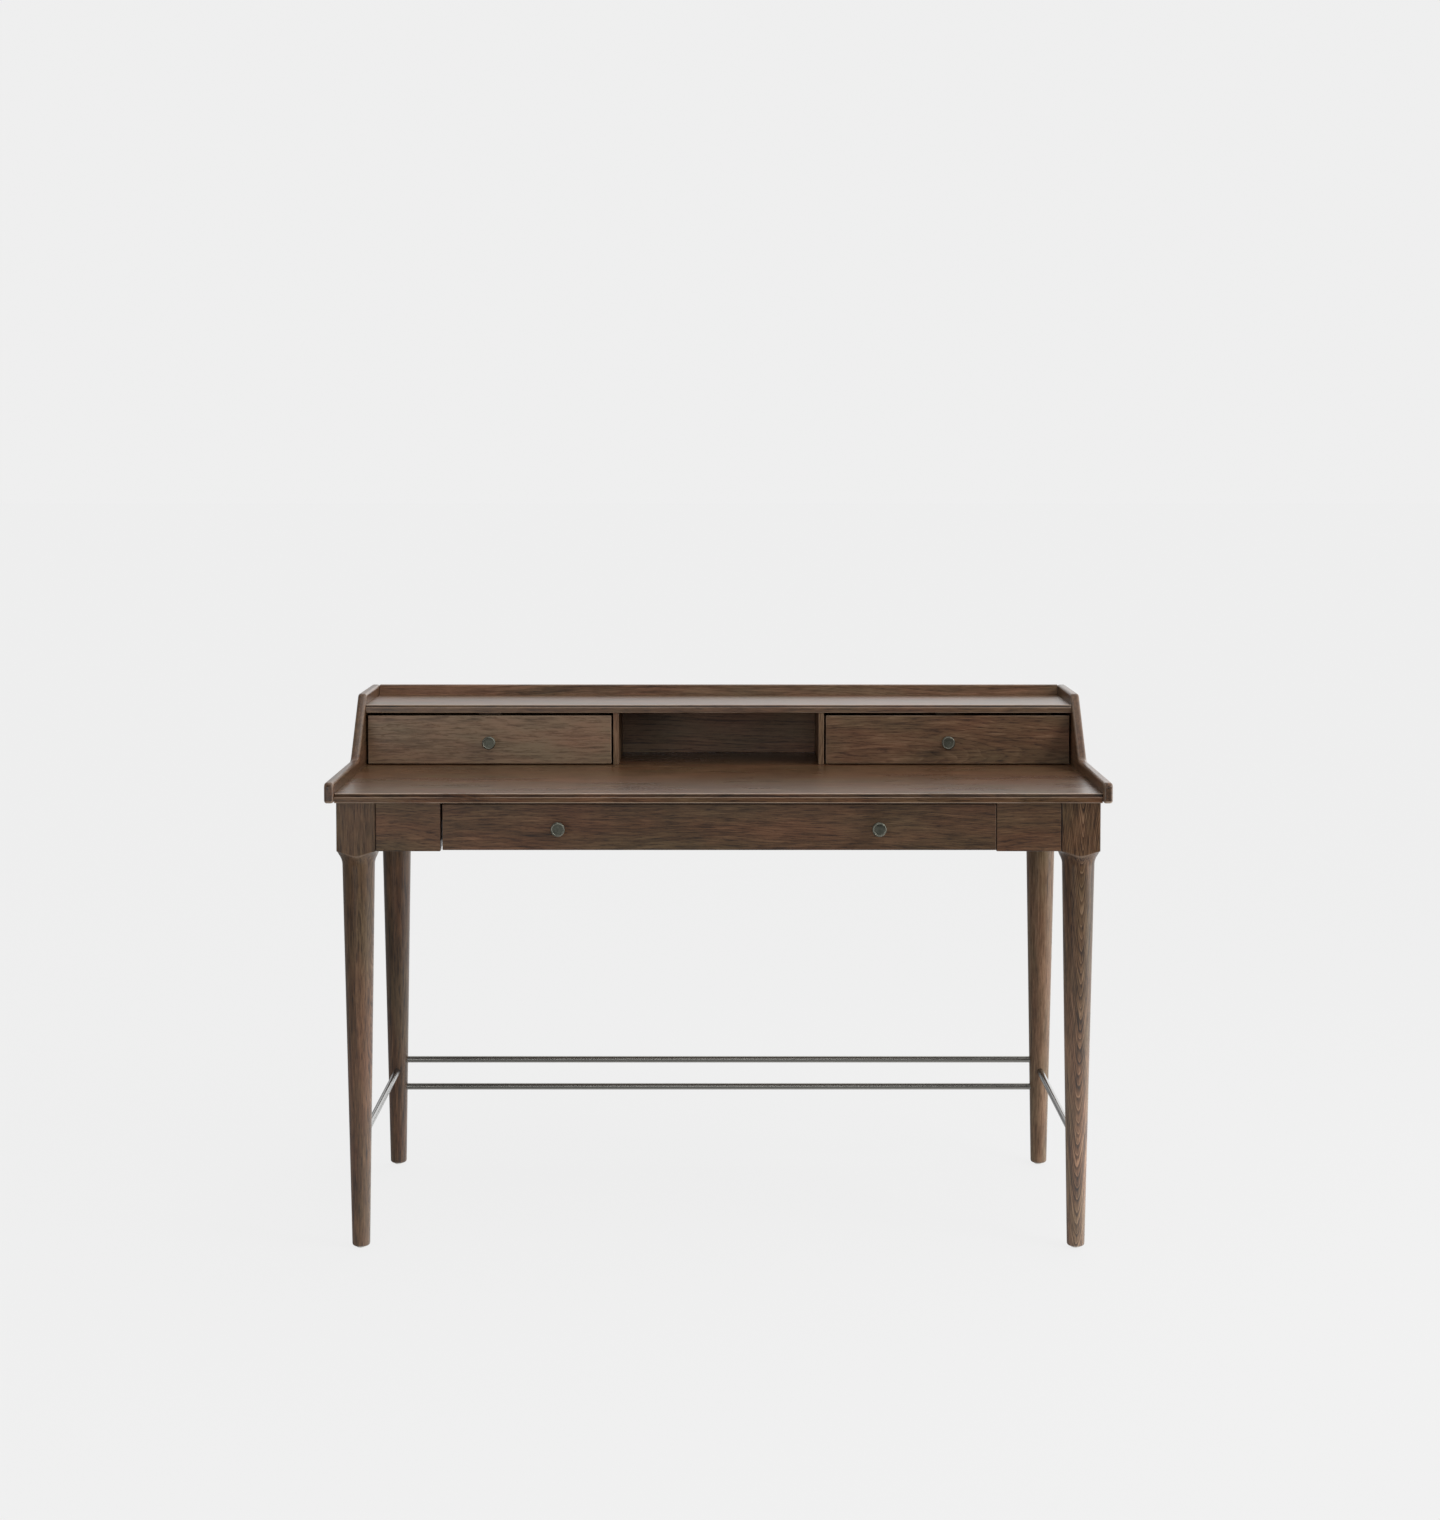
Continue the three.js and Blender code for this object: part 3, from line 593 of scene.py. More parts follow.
board_finish = {
    "back_panel": (oak_back_panel, SHOW_EDGE, TOUCHED_AND_LIT),
    "back_apron": (oak_rails, SHOW_EDGE, 0.0),
    "front_rail": (oak_rails, ROUGH_EDGE, 0.0),
    "cleat_back": (oak_rails, ROUGH_EDGE, 0.0),
    "centre_drawer_front": (oak_centre_front, FRONT_EDGE, 0.2),
    "left_drawer_front": (oak_left_front, FRONT_EDGE, 0.8),
    "right_drawer_front": (oak_right_front, FRONT_EDGE, 0.8),
}
for side in SIDE_NAMES:
    board_finish[f"front_panel_{side}"] = (oak_rails, FRONT_EDGE, JOINT_STAIN_AND_SHADE)
    board_finish[f"side_apron_{side}"] = (oak_side_grain, SHOW_EDGE, 0.0)
    board_finish[f"divider_{side}"] = (oak_dividers, SHOW_EDGE, 0.5)
    board_finish[f"drawer_cheek_{side}"] = (oak_side_grain, ROUGH_EDGE, 0.0)
    board_finish[f"cleat_{side}"] = (oak_side_grain, ROUGH_EDGE, 0.0)
    board_finish[f"drawer_stop_{side}"] = (oak_rails, ROUGH_EDGE, 0.0)
for drawer in ("centre_drawer", "left_drawer", "right_drawer"):
    board_finish[f"{drawer}_side_left"] = (box_oak, SHOW_EDGE, TOUCHED_AND_LIT)
    board_finish[f"{drawer}_side_right"] = (box_oak, SHOW_EDGE, TOUCHED_AND_LIT)
    board_finish[f"{drawer}_back"] = (box_oak_across, SHOW_EDGE, TOUCHED_AND_LIT)
    board_finish[f"{drawer}_bottom"] = (plywood, ROUGH_EDGE, 0.0)

for node, (material, edge, edge_mark) in board_finish.items():
    settle(board(f"{node}_board", *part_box(node), edge, edge_mark), node, material)
print(len(board_finish), "boards made")

# %% [markdown]
# The side panels, the desktop and the shelf have outlines of their own: rounded noses in front, and on the
# side panels a slant with a hollow elbow. For these an outline is drawn with a radius at each corner, and
# `slab` stretches it between two ends and rounds the rim of both ends as well.

# %% Outlines and slabs
# Edges rounder than this get no pale paint; elsewhere that paint is partly wear and partly a painted
# highlight.
SMALL_RADIUS = 0.007  # an edge rounder than this is a shape of its own and isn't rubbed pale


def turn_corner(before, spot, after, radius, steps, support):
    """The points that carry a path round one corner, each with its arris value."""
    inward = (before - spot).normalized()
    outward = (after - spot).normalized()
    half = inward.angle(outward) / 2
    reach = radius / math.tan(half)
    centre = spot + (inward + outward).normalized() * radius / math.sin(half)
    first = inward * reach + spot - centre
    last = outward * reach + spot - centre
    start = math.atan2(first.y, first.x)
    turn = math.remainder(math.atan2(last.y, last.x) - start, 2 * math.pi)
    small = radius < SMALL_RADIUS
    arc = [(centre + first + inward * support, 0.0)]
    for step in range(steps + 1):
        angle = start + turn * step / steps
        spoke = Vector((math.cos(angle), math.sin(angle))) * radius
        arc.append((centre + spoke, math.sin(math.pi * step / steps) if small else 0.0))
    arc.append((centre + last + outward * support, 0.0))
    return arc


def inset_corners(corners, inset):
    """The same outline moved inwards. Corners are (a, b, radius) and run anticlockwise."""
    spots = [Vector((a, b)) for a, b, _ in corners]
    moved = []
    for index, spot in enumerate(spots):
        before = (spot - spots[index - 1]).normalized()
        after = (spots[(index + 1) % len(spots)] - spot).normalized()
        sideways = Vector((-before.y - after.y, before.x + after.x)) / (1 + before.dot(after))
        place = spot + sideways * inset
        growth = -inset if before.cross(after) > 0 else inset
        moved.append((place.x, place.y, max(0.0, corners[index][2] + growth)))
    return moved


def outline(corners, inset=0.0, steps=6, support=SUPPORT, dark_run=None):
    """A closed path with a radius at each corner, as (point, arris). The straight run that follows corner
    `dark_run` is painted darker."""
    shape = inset_corners(corners, inset)
    spots = [Vector((a, b)) for a, b, _ in shape]
    path = []
    for index, spot in enumerate(spots):
        following = spots[(index + 1) % len(spots)]
        arc = turn_corner(spots[index - 1], spot, following, shape[index][2], steps, support / 4)
        if index == dark_run:
            arc[-1] = (arc[-1][0], -1.0)
        if dark_run is not None and index == dark_run + 1:
            arc[0] = (arc[0][0], -1.0)
        path += arc
    return path


def skin(rings, count, capped=True):
    """The faces between rings of `count` points each, and a cap on the first and on the last."""
    faces = []
    for ring in range(rings - 1):
        for index in range(count):
            here = ring * count + index
            beside = ring * count + (index + 1) % count
            faces.append((here, beside, beside + count, here + count))
    if capped:
        faces.append(tuple(range(count)))
        faces.append(tuple(range((rings - 1) * count, rings * count)))
    return faces


def slab(name, corners, start, end, edge, place, corner_steps=6, steps=5, support=SUPPORT, dark_run=None):
    """Stretches an outline from `start` to `end`. `place` turns (a, b, distance) into a point."""
    edge_mark = min(1.0, SUPPORT / edge) ** 2
    rim = [(0.0, edge + support, 0.0)]
    for step in range(steps + 1):
        angle = math.radians(90) * step / steps
        rim.append((edge * (1 - math.cos(angle)), edge * (1 - math.sin(angle)), math.sin(2 * angle) * edge_mark))
    rim.append((edge + support, 0.0, 0.0))
    rings = [(start + distance, inset, value) for distance, inset, value in rim]
    rings += [(end - distance, inset, value) for distance, inset, value in reversed(rim)]
    points, arris = [], []
    for distance, inset, value in rings:
        fade = max(0.0, 1 - inset / edge)
        for spot, path_value in outline(corners, inset, corner_steps, support, dark_run):
            points.append(place(spot.x, spot.y, distance))
            path_value *= fade
            arris.append(max(value, path_value) if path_value >= 0 else path_value)
    return make_piece(name, points, skin(len(rings), len(points) // len(rings)), arris)


def across_desk(y, z, x):
    return Vector((x, y, z))


# %% [markdown]
# The front edge of the desktop and of the shelf has a steep chamfer above and an eased arris below. Both
# arrises of the chamfer are painted pale, partly as rubbed wear and partly as a painted highlight, which
# draws two fine lines along the desk, and between them the chamfer is painted darker. The boards run
# between the side panels, where their ends are cut nearly square.

# %% Desktop and shelf
NOSE_ARRIS = 0.0018
UNDER_ARRIS = 0.0018
PLAIN_EDGE = 0.0007


def nosed_board(name, node, chamfer_back, chamfer_down):
    low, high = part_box(node)
    corners = [
        (low.y, low.z, UNDER_ARRIS),
        (high.y, low.z, PLAIN_EDGE),
        (high.y, high.z, PLAIN_EDGE),
        (low.y + chamfer_back, high.z, NOSE_ARRIS),
        (low.y, high.z - chamfer_down, NOSE_ARRIS),
    ]
    return slab(name, corners, low.x, high.x, PLAIN_EDGE, across_desk, corner_steps=4, steps=3, dark_run=3)


settle(nosed_board("desktop_board", "desktop", 0.0032, 0.0064), "desktop", oak_desktop)
settle(nosed_board("upper_shelf_board", "upper_shelf", 0.0026, 0.0050), "upper_shelf", oak_shelf)

# %% [markdown]
# A side panel is low beside the writing surface, turns up through a hollow elbow, and slants to the
# shoulder beside the shelf. All of its rim is well rounded, so that forearms rest on it comfortably.

# %% Side panels
LOW_TOP = 0.801
SLANT_START = 0.314  # measured back from the panel's front tip
SLANT_END = 0.420
TIP_ROUND = 0.009
HEEL_ROUND = 0.005
ELBOW_ROUND = 0.032
SHOULDER_ROUND = 0.012
PANEL_RIM = 0.0048

panel_low, panel_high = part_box("side_panel_left")
tip_y = panel_low.y
panel_corners = [
    (tip_y, panel_low.z, HEEL_ROUND),
    (panel_high.y, panel_low.z, PLAIN_EDGE),
    (panel_high.y, panel_high.z, HEEL_ROUND),
    (tip_y + SLANT_END, panel_high.z, SHOULDER_ROUND),
    (tip_y + SLANT_START, LOW_TOP, ELBOW_ROUND),
    (tip_y, LOW_TOP, TIP_ROUND),
]
for side in SIDE_NAMES:
    node = f"side_panel_{side}"
    low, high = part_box(node)
    panel = slab(f"{node}_board", panel_corners, low.x, high.x, PANEL_RIM, across_desk, corner_steps=8)
    settle(panel, node, oak_side_grain)
print("side panels:", triangles(panel), "triangles each")

# %% [markdown]
# A leg starts as a square post. The lathe leaves the head square, and below it cuts a hollow cove that runs
# out into a long straight taper. Where the hollow meets the flat sides of the head, each side ends in a low
# arch. So at each height and in each direction the leg reaches as far as the smaller of the two shapes, the
# post and the turning. The smaller is taken softly, which eases the arris between them by about a
# millimetre.

# %% Legs
HEAD_CORNER = 0.0022
NECK_HEIGHT = 0.656
NECK_DIAMETER = 0.0546
FOOT_DIAMETER = 0.030
COVE_CENTRE = 0.052
COVE_RISE = 0.028
FOOT_ROUND = 0.0045
ARRIS_SOFTNESS = 0.0022
ARCH_WEAR_AND_REFLECTION = 0.35
HEAD_CORNER_STAIN_AND_SHADE = -0.6
HEAD_CORNER_BAND = 0.06   # how far the dark corners of the head spread, as a share of its half
FLAT_STEPS = 26
ROUND_STEPS = 8
TAPER_STEPS = 24
COVE_STEPS = 52
ABOVE_COVE = 0.003
HEAD_LINE = 0.02


def head_outline(half):
    """The square post from above, with rounded corners, as points round the leg's axis."""
    turns = ((-1, -1), (1, -1), (1, 1), (-1, 1))
    coarse = [spot for spot, _ in outline([(a * half, b * half, HEAD_CORNER) for a, b in turns])]
    rim = []
    for index, spot in enumerate(coarse):
        following = coarse[(index + 1) % len(coarse)]
        rim.append(spot)
        if (following - spot).length > half:
            rim += [spot.lerp(following, step / FLAT_STEPS) for step in range(1, FLAT_STEPS)]
    return rim


def turned_radius(z, foot_z):
    """The radius of the turning at one height."""
    share = (z - foot_z) / (NECK_HEIGHT - foot_z)
    taper = (FOOT_DIAMETER + min(share, 1.0) * (NECK_DIAMETER - FOOT_DIAMETER)) / 2
    if z < foot_z + FOOT_ROUND:
        rise = 1 - (z - foot_z) / FOOT_ROUND
        return taper - FOOT_ROUND * (1 - math.sqrt(max(0.0, 1 - rise * rise)))
    if z <= NECK_HEIGHT:
        return taper
    climb = min(1.0, (z - NECK_HEIGHT) / COVE_RISE)
    cove = COVE_CENTRE - (COVE_CENTRE - NECK_DIAMETER / 2) * math.sqrt(1 - climb * climb)
    return cove if climb < 1.0 else 1.0


def soft_minimum(first, second, softness):
    overlap = max(softness - abs(first - second), 0.0) / softness
    return min(first, second) - overlap * overlap * softness / 4, overlap


def leg_heights(foot_z, top_z):
    angles = [math.radians(90 / ROUND_STEPS * step) for step in range(ROUND_STEPS + 1)]
    rounding = [foot_z + FOOT_ROUND * (1 - math.cos(angle)) for angle in angles]
    straight = NECK_HEIGHT - foot_z - FOOT_ROUND
    taper = [foot_z + FOOT_ROUND + straight * step / TAPER_STEPS for step in range(1, TAPER_STEPS)]
    cove = [NECK_HEIGHT + (COVE_RISE + ABOVE_COVE) * step / COVE_STEPS for step in range(COVE_STEPS + 1)]
    return rounding + taper + cove + [cove[-1] + HEAD_LINE, top_z - SUPPORT, top_z]


def leg(name, node):
    low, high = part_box(node)
    centre = middle(node)
    rim = head_outline((high.x - low.x) / 2)
    heights = leg_heights(low.z, high.z)
    points, arris = [], []
    for z in heights:
        for spot in rim:
            reach, overlap = soft_minimum(spot.length, turned_radius(z, low.z), ARRIS_SOFTNESS)
            direction = spot.normalized()
            points.append(Vector((centre.x + direction.x * reach, centre.y + direction.y * reach, z)))
            # The head's corners are painted dark, partly as stain in its joints and partly as painted shade;
            # the arch edge is painted pale, partly as wear and partly as a painted reflection of the floor.
            corner = max(0.0, 1 - abs(abs(direction.x) - abs(direction.y)) / HEAD_CORNER_BAND)
            square = 1.0 if z > NECK_HEIGHT + COVE_RISE else 0.0
            arris.append(overlap * ARCH_WEAR_AND_REFLECTION + corner * square * HEAD_CORNER_STAIN_AND_SHADE)
    return make_piece(name, points, skin(len(heights), len(rim)), arris)


for node in LEG_NODES:
    turned_leg = leg(f"{node}_turned", node)
    settle(turned_leg, node, oak_legs[node])
print("legs:", triangles(turned_leg), "triangles each")

# %% [markdown]
# Knobs, glides and screws are turned too, and they are round all the way, so one lathe function serves them
# all: a profile of radius and distance is carried round an axis. The profile starts and ends on the axis,
# so the piece is closed.

# %% A lathe
FINE_SUPPORT = 0.00012


def profile(corners, steps):
    """An open path with a radius at each inner corner, as (point, arris)."""
    spots = [Vector((a, b)) for a, b, _ in corners]
    path = [(spots[0], 0.0)]
    for index in range(1, len(spots) - 1):
        radius = corners[index][2]
        path += turn_corner(spots[index - 1], spots[index], spots[index + 1], radius, steps, FINE_SUPPORT)
    path.append((spots[-1], 0.0))
    return path


def lathe(name, path, place, sides=64):
    """Turns a path of (point, arris), each point being (radius, distance), round an axis."""
    points, arris = [], []
    for spot, value in path:
        for index in range(sides):
            angle = 2 * math.pi * index / sides
            radius = max(0.0, spot.x)
            points.append(place(radius * math.cos(angle), radius * math.sin(angle), spot.y))
            arris.append(value)
    return make_piece(name, points, skin(len(path), sides, capped=False), arris)


# %% [markdown]
# A knob is a disc on a short waisted stem, with a thin raised rim round a slightly sunken face. The rim is
# where it shines, and its edges are painted pale, partly as wear and partly as a painted highlight.

# %% Knobs
KNOB_NODES = ["centre_drawer_knob_left", "centre_drawer_knob_right", "left_drawer_knob", "right_drawer_knob"]
KNOB_COLLAR = 0.0068


def towards_front(node):
    """Places round the node's middle, at a distance in front of its back face."""
    centre, back = middle(node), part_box(node)[1].y

    def place(a, b, distance):
        return Vector((centre.x + a, back - distance, centre.z + b))

    return place


def knob(name, node):
    low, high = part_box(node)
    rim = (high.x - low.x) / 2
    reach = high.y - low.y
    corners = [
        (0.0, 0.0, 0.0),
        (KNOB_COLLAR, 0.0, 0.0006),
        (KNOB_COLLAR, 0.0020, 0.0006),
        (0.0050, 0.0034, 0.0016),
        (0.0048, reach - 0.0128, 0.0030),
        (rim - 0.0006, reach - 0.0085, 0.0016),
        (rim, reach - 0.0070, 0.0012),
        (rim, reach - 0.0012, 0.0011),
        (rim - 0.0014, reach, 0.0007),
        (rim - 0.0023, reach, 0.0004),
        (rim - 0.0028, reach - 0.0007, 0.0005),
        (0.0040, reach - 0.0009, 0.0020),
        (0.0, reach - 0.0008, 0.0),
    ]
    return lathe(name, profile(corners, 3), towards_front(node))


for node in KNOB_NODES:
    turned_knob = knob(f"{node}_pewter", node)
    settle(turned_knob, node, pewter)
print("knobs:", triangles(turned_knob), "triangles each")

# %% [markdown]
# Under each leg a nylon glide keeps the end grain off the floor. Its stem is pressed into the foot.

# %% Glides
TOUCH_GAP = 0.0003
GLIDE_STEM = 0.0025
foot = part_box("leg_front_left")[0].z


def glide(name, node):
    low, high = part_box(node)
    centre = middle(node)
    radius = (high.x - low.x) / 2
    head_top = foot - TOUCH_GAP

    def place(a, b, distance):
        return Vector((centre.x + a, centre.y + b, distance))

    corners = [
        (0.0, 0.0, 0.0),
        (radius, 0.0, 0.0016),
        (radius, head_top, 0.0006),
        (GLIDE_STEM, head_top, 0.0003),
        (GLIDE_STEM, high.z, 0.0006),
        (0.0, high.z, 0.0),
    ]
    return lathe(name, profile(corners, 4), place, sides=48)


for node in [name.replace("leg", "glide") for name in LEG_NODES]:
    settle(glide(f"{node}_nylon", node), node, nylon)
print("glides made")

# %% [markdown]
# Each knob is held from inside the drawer by a pan-head screw. The head's cross recess is cut out with a
# Boolean, and the result is made into a plain mesh at once.

# %% Screws
HEAD_THICK = 0.0026
RECESS_LENGTH = 0.0042
RECESS_WIDTH = 0.0009
RECESS_DEPTH = 0.0013
CUTTER_EDGE = 0.0001
SHANK_RADIUS = 0.002
SHARP_ANGLE = math.radians(35)


def screw(name, head_radius, length, place):
    """A pan-head screw. Distances run from the top of its head."""
    corners = [
        (0.0, 0.0, 0.0),
        (head_radius * 0.86, 0.0, 0.0014),
        (head_radius, HEAD_THICK - 0.0006, 0.0007),
        (head_radius, HEAD_THICK, 0.00015),
        (SHANK_RADIUS, HEAD_THICK, 0.0002),
        (SHANK_RADIUS, length, 0.0004),
        (0.0, length, 0.0),
    ]
    piece = lathe(name, profile(corners, 3), place, sides=32)
    for wide, tall in ((RECESS_WIDTH / 2, RECESS_LENGTH / 2), (RECESS_LENGTH / 2, RECESS_WIDTH / 2)):
        ends = (place(-wide, -tall, -RECESS_DEPTH), place(wide, tall, RECESS_DEPTH))
        low = Vector(min(spot[axis] for spot in ends) for axis in range(3))
        high = Vector(max(spot[axis] for spot in ends) for axis in range(3))
        piece = cut_out(piece, board(f"{name}_cutter", low, high, CUTTER_EDGE))
    piece.data.set_sharp_from_angle(angle=SHARP_ANGLE)
    return piece


def plain_mesh(source, name):
    """A mesh object with what the source's modifiers made. The source is removed."""
    graph = bpy.context.evaluated_depsgraph_get()
    mesh = bpy.data.meshes.new_from_object(source.evaluated_get(graph), depsgraph=graph)
    bpy.data.objects.remove(source)
    return add_object(name, mesh)


def cut_out(piece, cutter):
    """Takes the cutter's shape out of the piece and removes the cutter."""
    modifier = piece.modifiers.new("cut", "BOOLEAN")
    modifier.operation = "DIFFERENCE"
    modifier.solver = "EXACT"
    modifier.object = cutter
    piece = plain_mesh(piece, piece.name)
    bpy.data.objects.remove(cutter)
    return piece


for node in [name.replace("knob", "knob_screw") for name in KNOB_NODES]:
    low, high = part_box(node)
    made = screw(f"{node}_steel", (high.x - low.x) / 2, high.y - low.y, towards_front(node))
    settle(made, node, zinc)
print("knob screws:", triangles(made), "triangles each")

# %% [markdown]
# The wide drawer runs on two pairs of steel slides. A slide is a C-shaped section of folded sheet: the
# channel is screwed to the cheek of the frame, and the smaller bar, which opens the other way, is screwed
# to the drawer and runs inside it.

# %% Slides
SHEET = 0.0015
FOLD = 0.0022
LIP_ROUND = 0.0004
CUT_EDGE = 0.0003
SHEET_SUPPORT = 0.0002


def along_depth(x, z, y):
    return Vector((x, y, z))


def slide(node, opens):
    """A folded section along the whole box of the node. `opens` is 1 or -1: the way its open side looks."""
    low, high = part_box(node)
    web, lip = (low.x, high.x) if opens > 0 else (high.x, low.x)
    inner = web + opens * SHEET
    corners = [
        (web, high.z, FOLD),
        (web, low.z, FOLD),
        (lip, low.z, LIP_ROUND),
        (lip, low.z + SHEET, LIP_ROUND),
        (inner, low.z + SHEET, FOLD - SHEET),
        (inner, high.z - SHEET, FOLD - SHEET),
        (lip, high.z - SHEET, LIP_ROUND),
        (lip, high.z, LIP_ROUND),
    ]
    if opens < 0:
        corners = corners[::-1]
    return slab(f"{node}_folded", corners, low.y, high.y, CUT_EDGE, along_depth, corner_steps=4, steps=2,
                support=SHEET_SUPPORT)


for side, outward in (("left", -1), ("right", 1)):
    settle(slide(f"slide_channel_{side}", -outward), f"slide_channel_{side}", zinc)
    settle(slide(f"slide_bar_{side}", outward), f"slide_bar_{side}", zinc)
print("slides made")

# %% [markdown]
# The four steel rods follow straight lines from leg to leg, so they are a small Geometry Nodes tree: a line
# between two points, a round section carried along it, closed ends. One tree with named inputs serves all
# four. A modifier's inputs are set by their identifiers, and the result is turned into a plain mesh.

# %% A tree for rods
def tree_with_inputs(name, inputs):
    """A geometry tree with one geometry output and the named inputs, given as (name, socket type)."""
    tree = bpy.data.node_groups.new(name, "GeometryNodeTree")
    for label, kind in inputs:
        tree.interface.new_socket(label, in_out="INPUT", socket_type=kind)
    tree.interface.new_socket("Geometry", in_out="OUTPUT", socket_type="NodeSocketGeometry")
    wiring = Wiring(tree)
    entry = wiring.node("NodeGroupInput").socket.node
    given = {label: Socket(wiring, entry.outputs[label]) for label, _ in inputs}
    return tree, wiring, given


def finish_tree(wiring, geometry, material):
    """Ends a tree the way the export needs it: real geometry, with its material."""
    real = wiring.node("GeometryNodeRealizeInstances", {}, {0: geometry})
    painted = wiring.node("GeometryNodeSetMaterial", {}, {"Geometry": real, "Material": material})
    wiring.node("NodeGroupOutput", {}, {"Geometry": painted})


def grown(name, tree, values):
    """A plain mesh object made by the tree with these values for its named inputs."""
    source = add_object(name + "_source", bpy.data.meshes.new(name + "_source"))
    modifier = source.modifiers.new("shape", "NODES")
    modifier.node_group = tree
    for item in tree.interface.items_tree:
        if item.in_out == "INPUT":
            modifier[item.identifier] = values[item.name]
    return plain_mesh(source, name)


ROD_INPUTS = [("Start", "NodeSocketVector"), ("End", "NodeSocketVector"), ("Diameter", "NodeSocketFloat"),
              ("Sides", "NodeSocketInt"), ("Material", "NodeSocketMaterial")]
rod_tree, wire, given = tree_with_inputs("steel_rod", ROD_INPUTS)
line = wire.node("GeometryNodeCurvePrimitiveLine", {}, {"Start": given["Start"], "End": given["End"]})
section = wire.node("GeometryNodeCurvePrimitiveCircle", {},
                    {"Resolution": given["Sides"], "Radius": given["Diameter"] / 2})
tube = wire.node("GeometryNodeCurveToMesh", {}, {"Curve": line, "Profile Curve": section, "Fill Caps": True})
finish_tree(wire, tube, given["Material"])
print("rod tree:", len(rod_tree.nodes), "nodes")

# %% [markdown]
# The rods' ends sit in blind holes in the legs. Two long ones join the back legs, and a short one on each
# side runs from the front leg to the back leg.

# %% Rods
ROD_SIDES = 40


def rod(node, axis, material):
    low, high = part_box(node)
    start = middle(node)
    end = middle(node)
    start[axis] = low[axis]
    end[axis] = high[axis]
    thick = high.z - low.z
    values = {"Start": start, "End": end, "Diameter": thick, "Sides": ROD_SIDES, "Material": material}
    piece = grown(f"{node}_steel", rod_tree, values)
    piece.data.shade_smooth()
    settle(piece, node, material)


X_AXIS, Y_AXIS = 0, 1
for node in ("back_rod_upper", "back_rod_lower"):
    rod(node, X_AXIS, gunmetal_along_x)
for node in ("side_rod_left", "side_rod_right"):
    rod(node, Y_AXIS, gunmetal_along_y)
print("rods made")

# %% [markdown]
# The desktop is held down by rows of screws that go up through the cleats and the front rail. They can be
# seen from below. A second small tree sets copies of one screw along a line, with a slight turn from one to
# the next, because nobody stops a screw at the same angle twice.

# %% Rows of screws
NEARLY_HALF_TURN = 3.1
ROW_HEAD_RADIUS = 0.0042
ROW_SHANK_SEEN = 0.001
END_DISTANCE = 0.035
SCREW_ROWS = {
    "cleat_left": (Y_AXIS, 5),
    "cleat_right": (Y_AXIS, 5),
    "cleat_back": (X_AXIS, 7),
    "front_rail": (X_AXIS, 7),
}
ROW_INPUTS = [("Start", "NodeSocketVector"), ("End", "NodeSocketVector"), ("Count", "NodeSocketInt"),
              ("Screw", "NodeSocketObject"), ("Seed", "NodeSocketInt"), ("Material", "NodeSocketMaterial")]
row_tree, wire, given = tree_with_inputs("row_of_screws", ROW_INPUTS)
row = wire.node("GeometryNodeMeshLine", {"mode": "END_POINTS", "count_mode": "TOTAL"},
                {"Count": given["Count"], "Start Location": given["Start"], "Offset": given["End"]})
shape = wire.node("GeometryNodeObjectInfo", {}, {"Object": given["Screw"]}, "Geometry")
angle = wire.node("FunctionNodeRandomValue", {"data_type": "FLOAT"},
                  {"Min": 0.0, "Max": NEARLY_HALF_TURN, "Seed": given["Seed"]}, 1)
turned = wire.vector(0.0, 0.0, angle)
screws = wire.node("GeometryNodeInstanceOnPoints", {}, {"Points": row, "Instance": shape, "Rotation": turned})
finish_tree(wire, screws, given["Material"])


def under_wood(a, b, distance):
    return Vector((a, b, distance - HEAD_THICK))


one_screw = screw("one_screw", ROW_HEAD_RADIUS, HEAD_THICK + ROW_SHANK_SEEN, under_wood)
for number, (node, (axis, count)) in enumerate(SCREW_ROWS.items()):
    low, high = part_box(node)
    start = middle(node)
    start.z = low.z
    end = start.copy()
    start[axis] = low[axis] + END_DISTANCE
    end[axis] = high[axis] - END_DISTANCE
    values = {"Start": start, "End": end, "Count": count, "Screw": one_screw, "Seed": number}
    row_piece = grown(f"{node}_screws", row_tree, {**values, "Material": zinc})
    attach(row_piece, body_of[node])
bpy.data.objects.remove(one_screw)
print("screw rows:", triangles(row_piece), "triangles in the last")

# %% [markdown]
# The stage is a plain pale floor that runs on into an equally pale sky, as in a catalogue picture, where
# the ground has no visible edge. The floor gives off most of its own brightness, so it stays even, and it
# only takes a faint shadow where the legs stand. The desk itself doesn't see this floor: it sees the sky's
# own lower half, so its light can be set by direction alone.

# %% Floor
PALE = 0.862
FLOOR_PAINT = 0.05
FLOOR_GLOW = 0.812
FLOOR_REACH = 60.0

WHITE = (1.0, 1.0, 1.0, 1.0)

floor_mesh = bpy.data.meshes.new("floor")
turns = ((-1, -1), (1, -1), (1, 1), (-1, 1))
floor_mesh.from_pydata([(a * FLOOR_REACH, b * FLOOR_REACH, 0) for a, b in turns], [], [(0, 1, 2, 3)])
floor = add_object("floor", floor_mesh)
floor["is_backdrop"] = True
floor.visible_diffuse = False
floor.visible_glossy = False
floor_paint, wire, shader = new_material("pale_floor")
wire.fill(shader, {
    "Base Color": (FLOOR_PAINT, FLOOR_PAINT, FLOOR_PAINT, 1.0),
    "Roughness": 0.9,
    "Specular IOR Level": 0.0,
    "Emission Color": WHITE,
    "Emission Strength": FLOOR_GLOW,
})
floor_mesh.materials.append(floor_paint)
bpy.context.scene.view_settings.view_transform = "Standard"

# %% [markdown]
# The sky is a white studio with one dark end: the side towards -Y, where the viewer stands. A satin finish
# mirrors a little of whatever it faces. So the fronts, which face the dark end, keep their deep colour,
# while the shelf and the desktop mirror the bright wall behind and show a pale sheen. That wall is brighter
# to the right. Below, even the dark end has the pale floor, whose light reaches the hollows under the leg
# heads. The backdrop that is seen directly stays even.

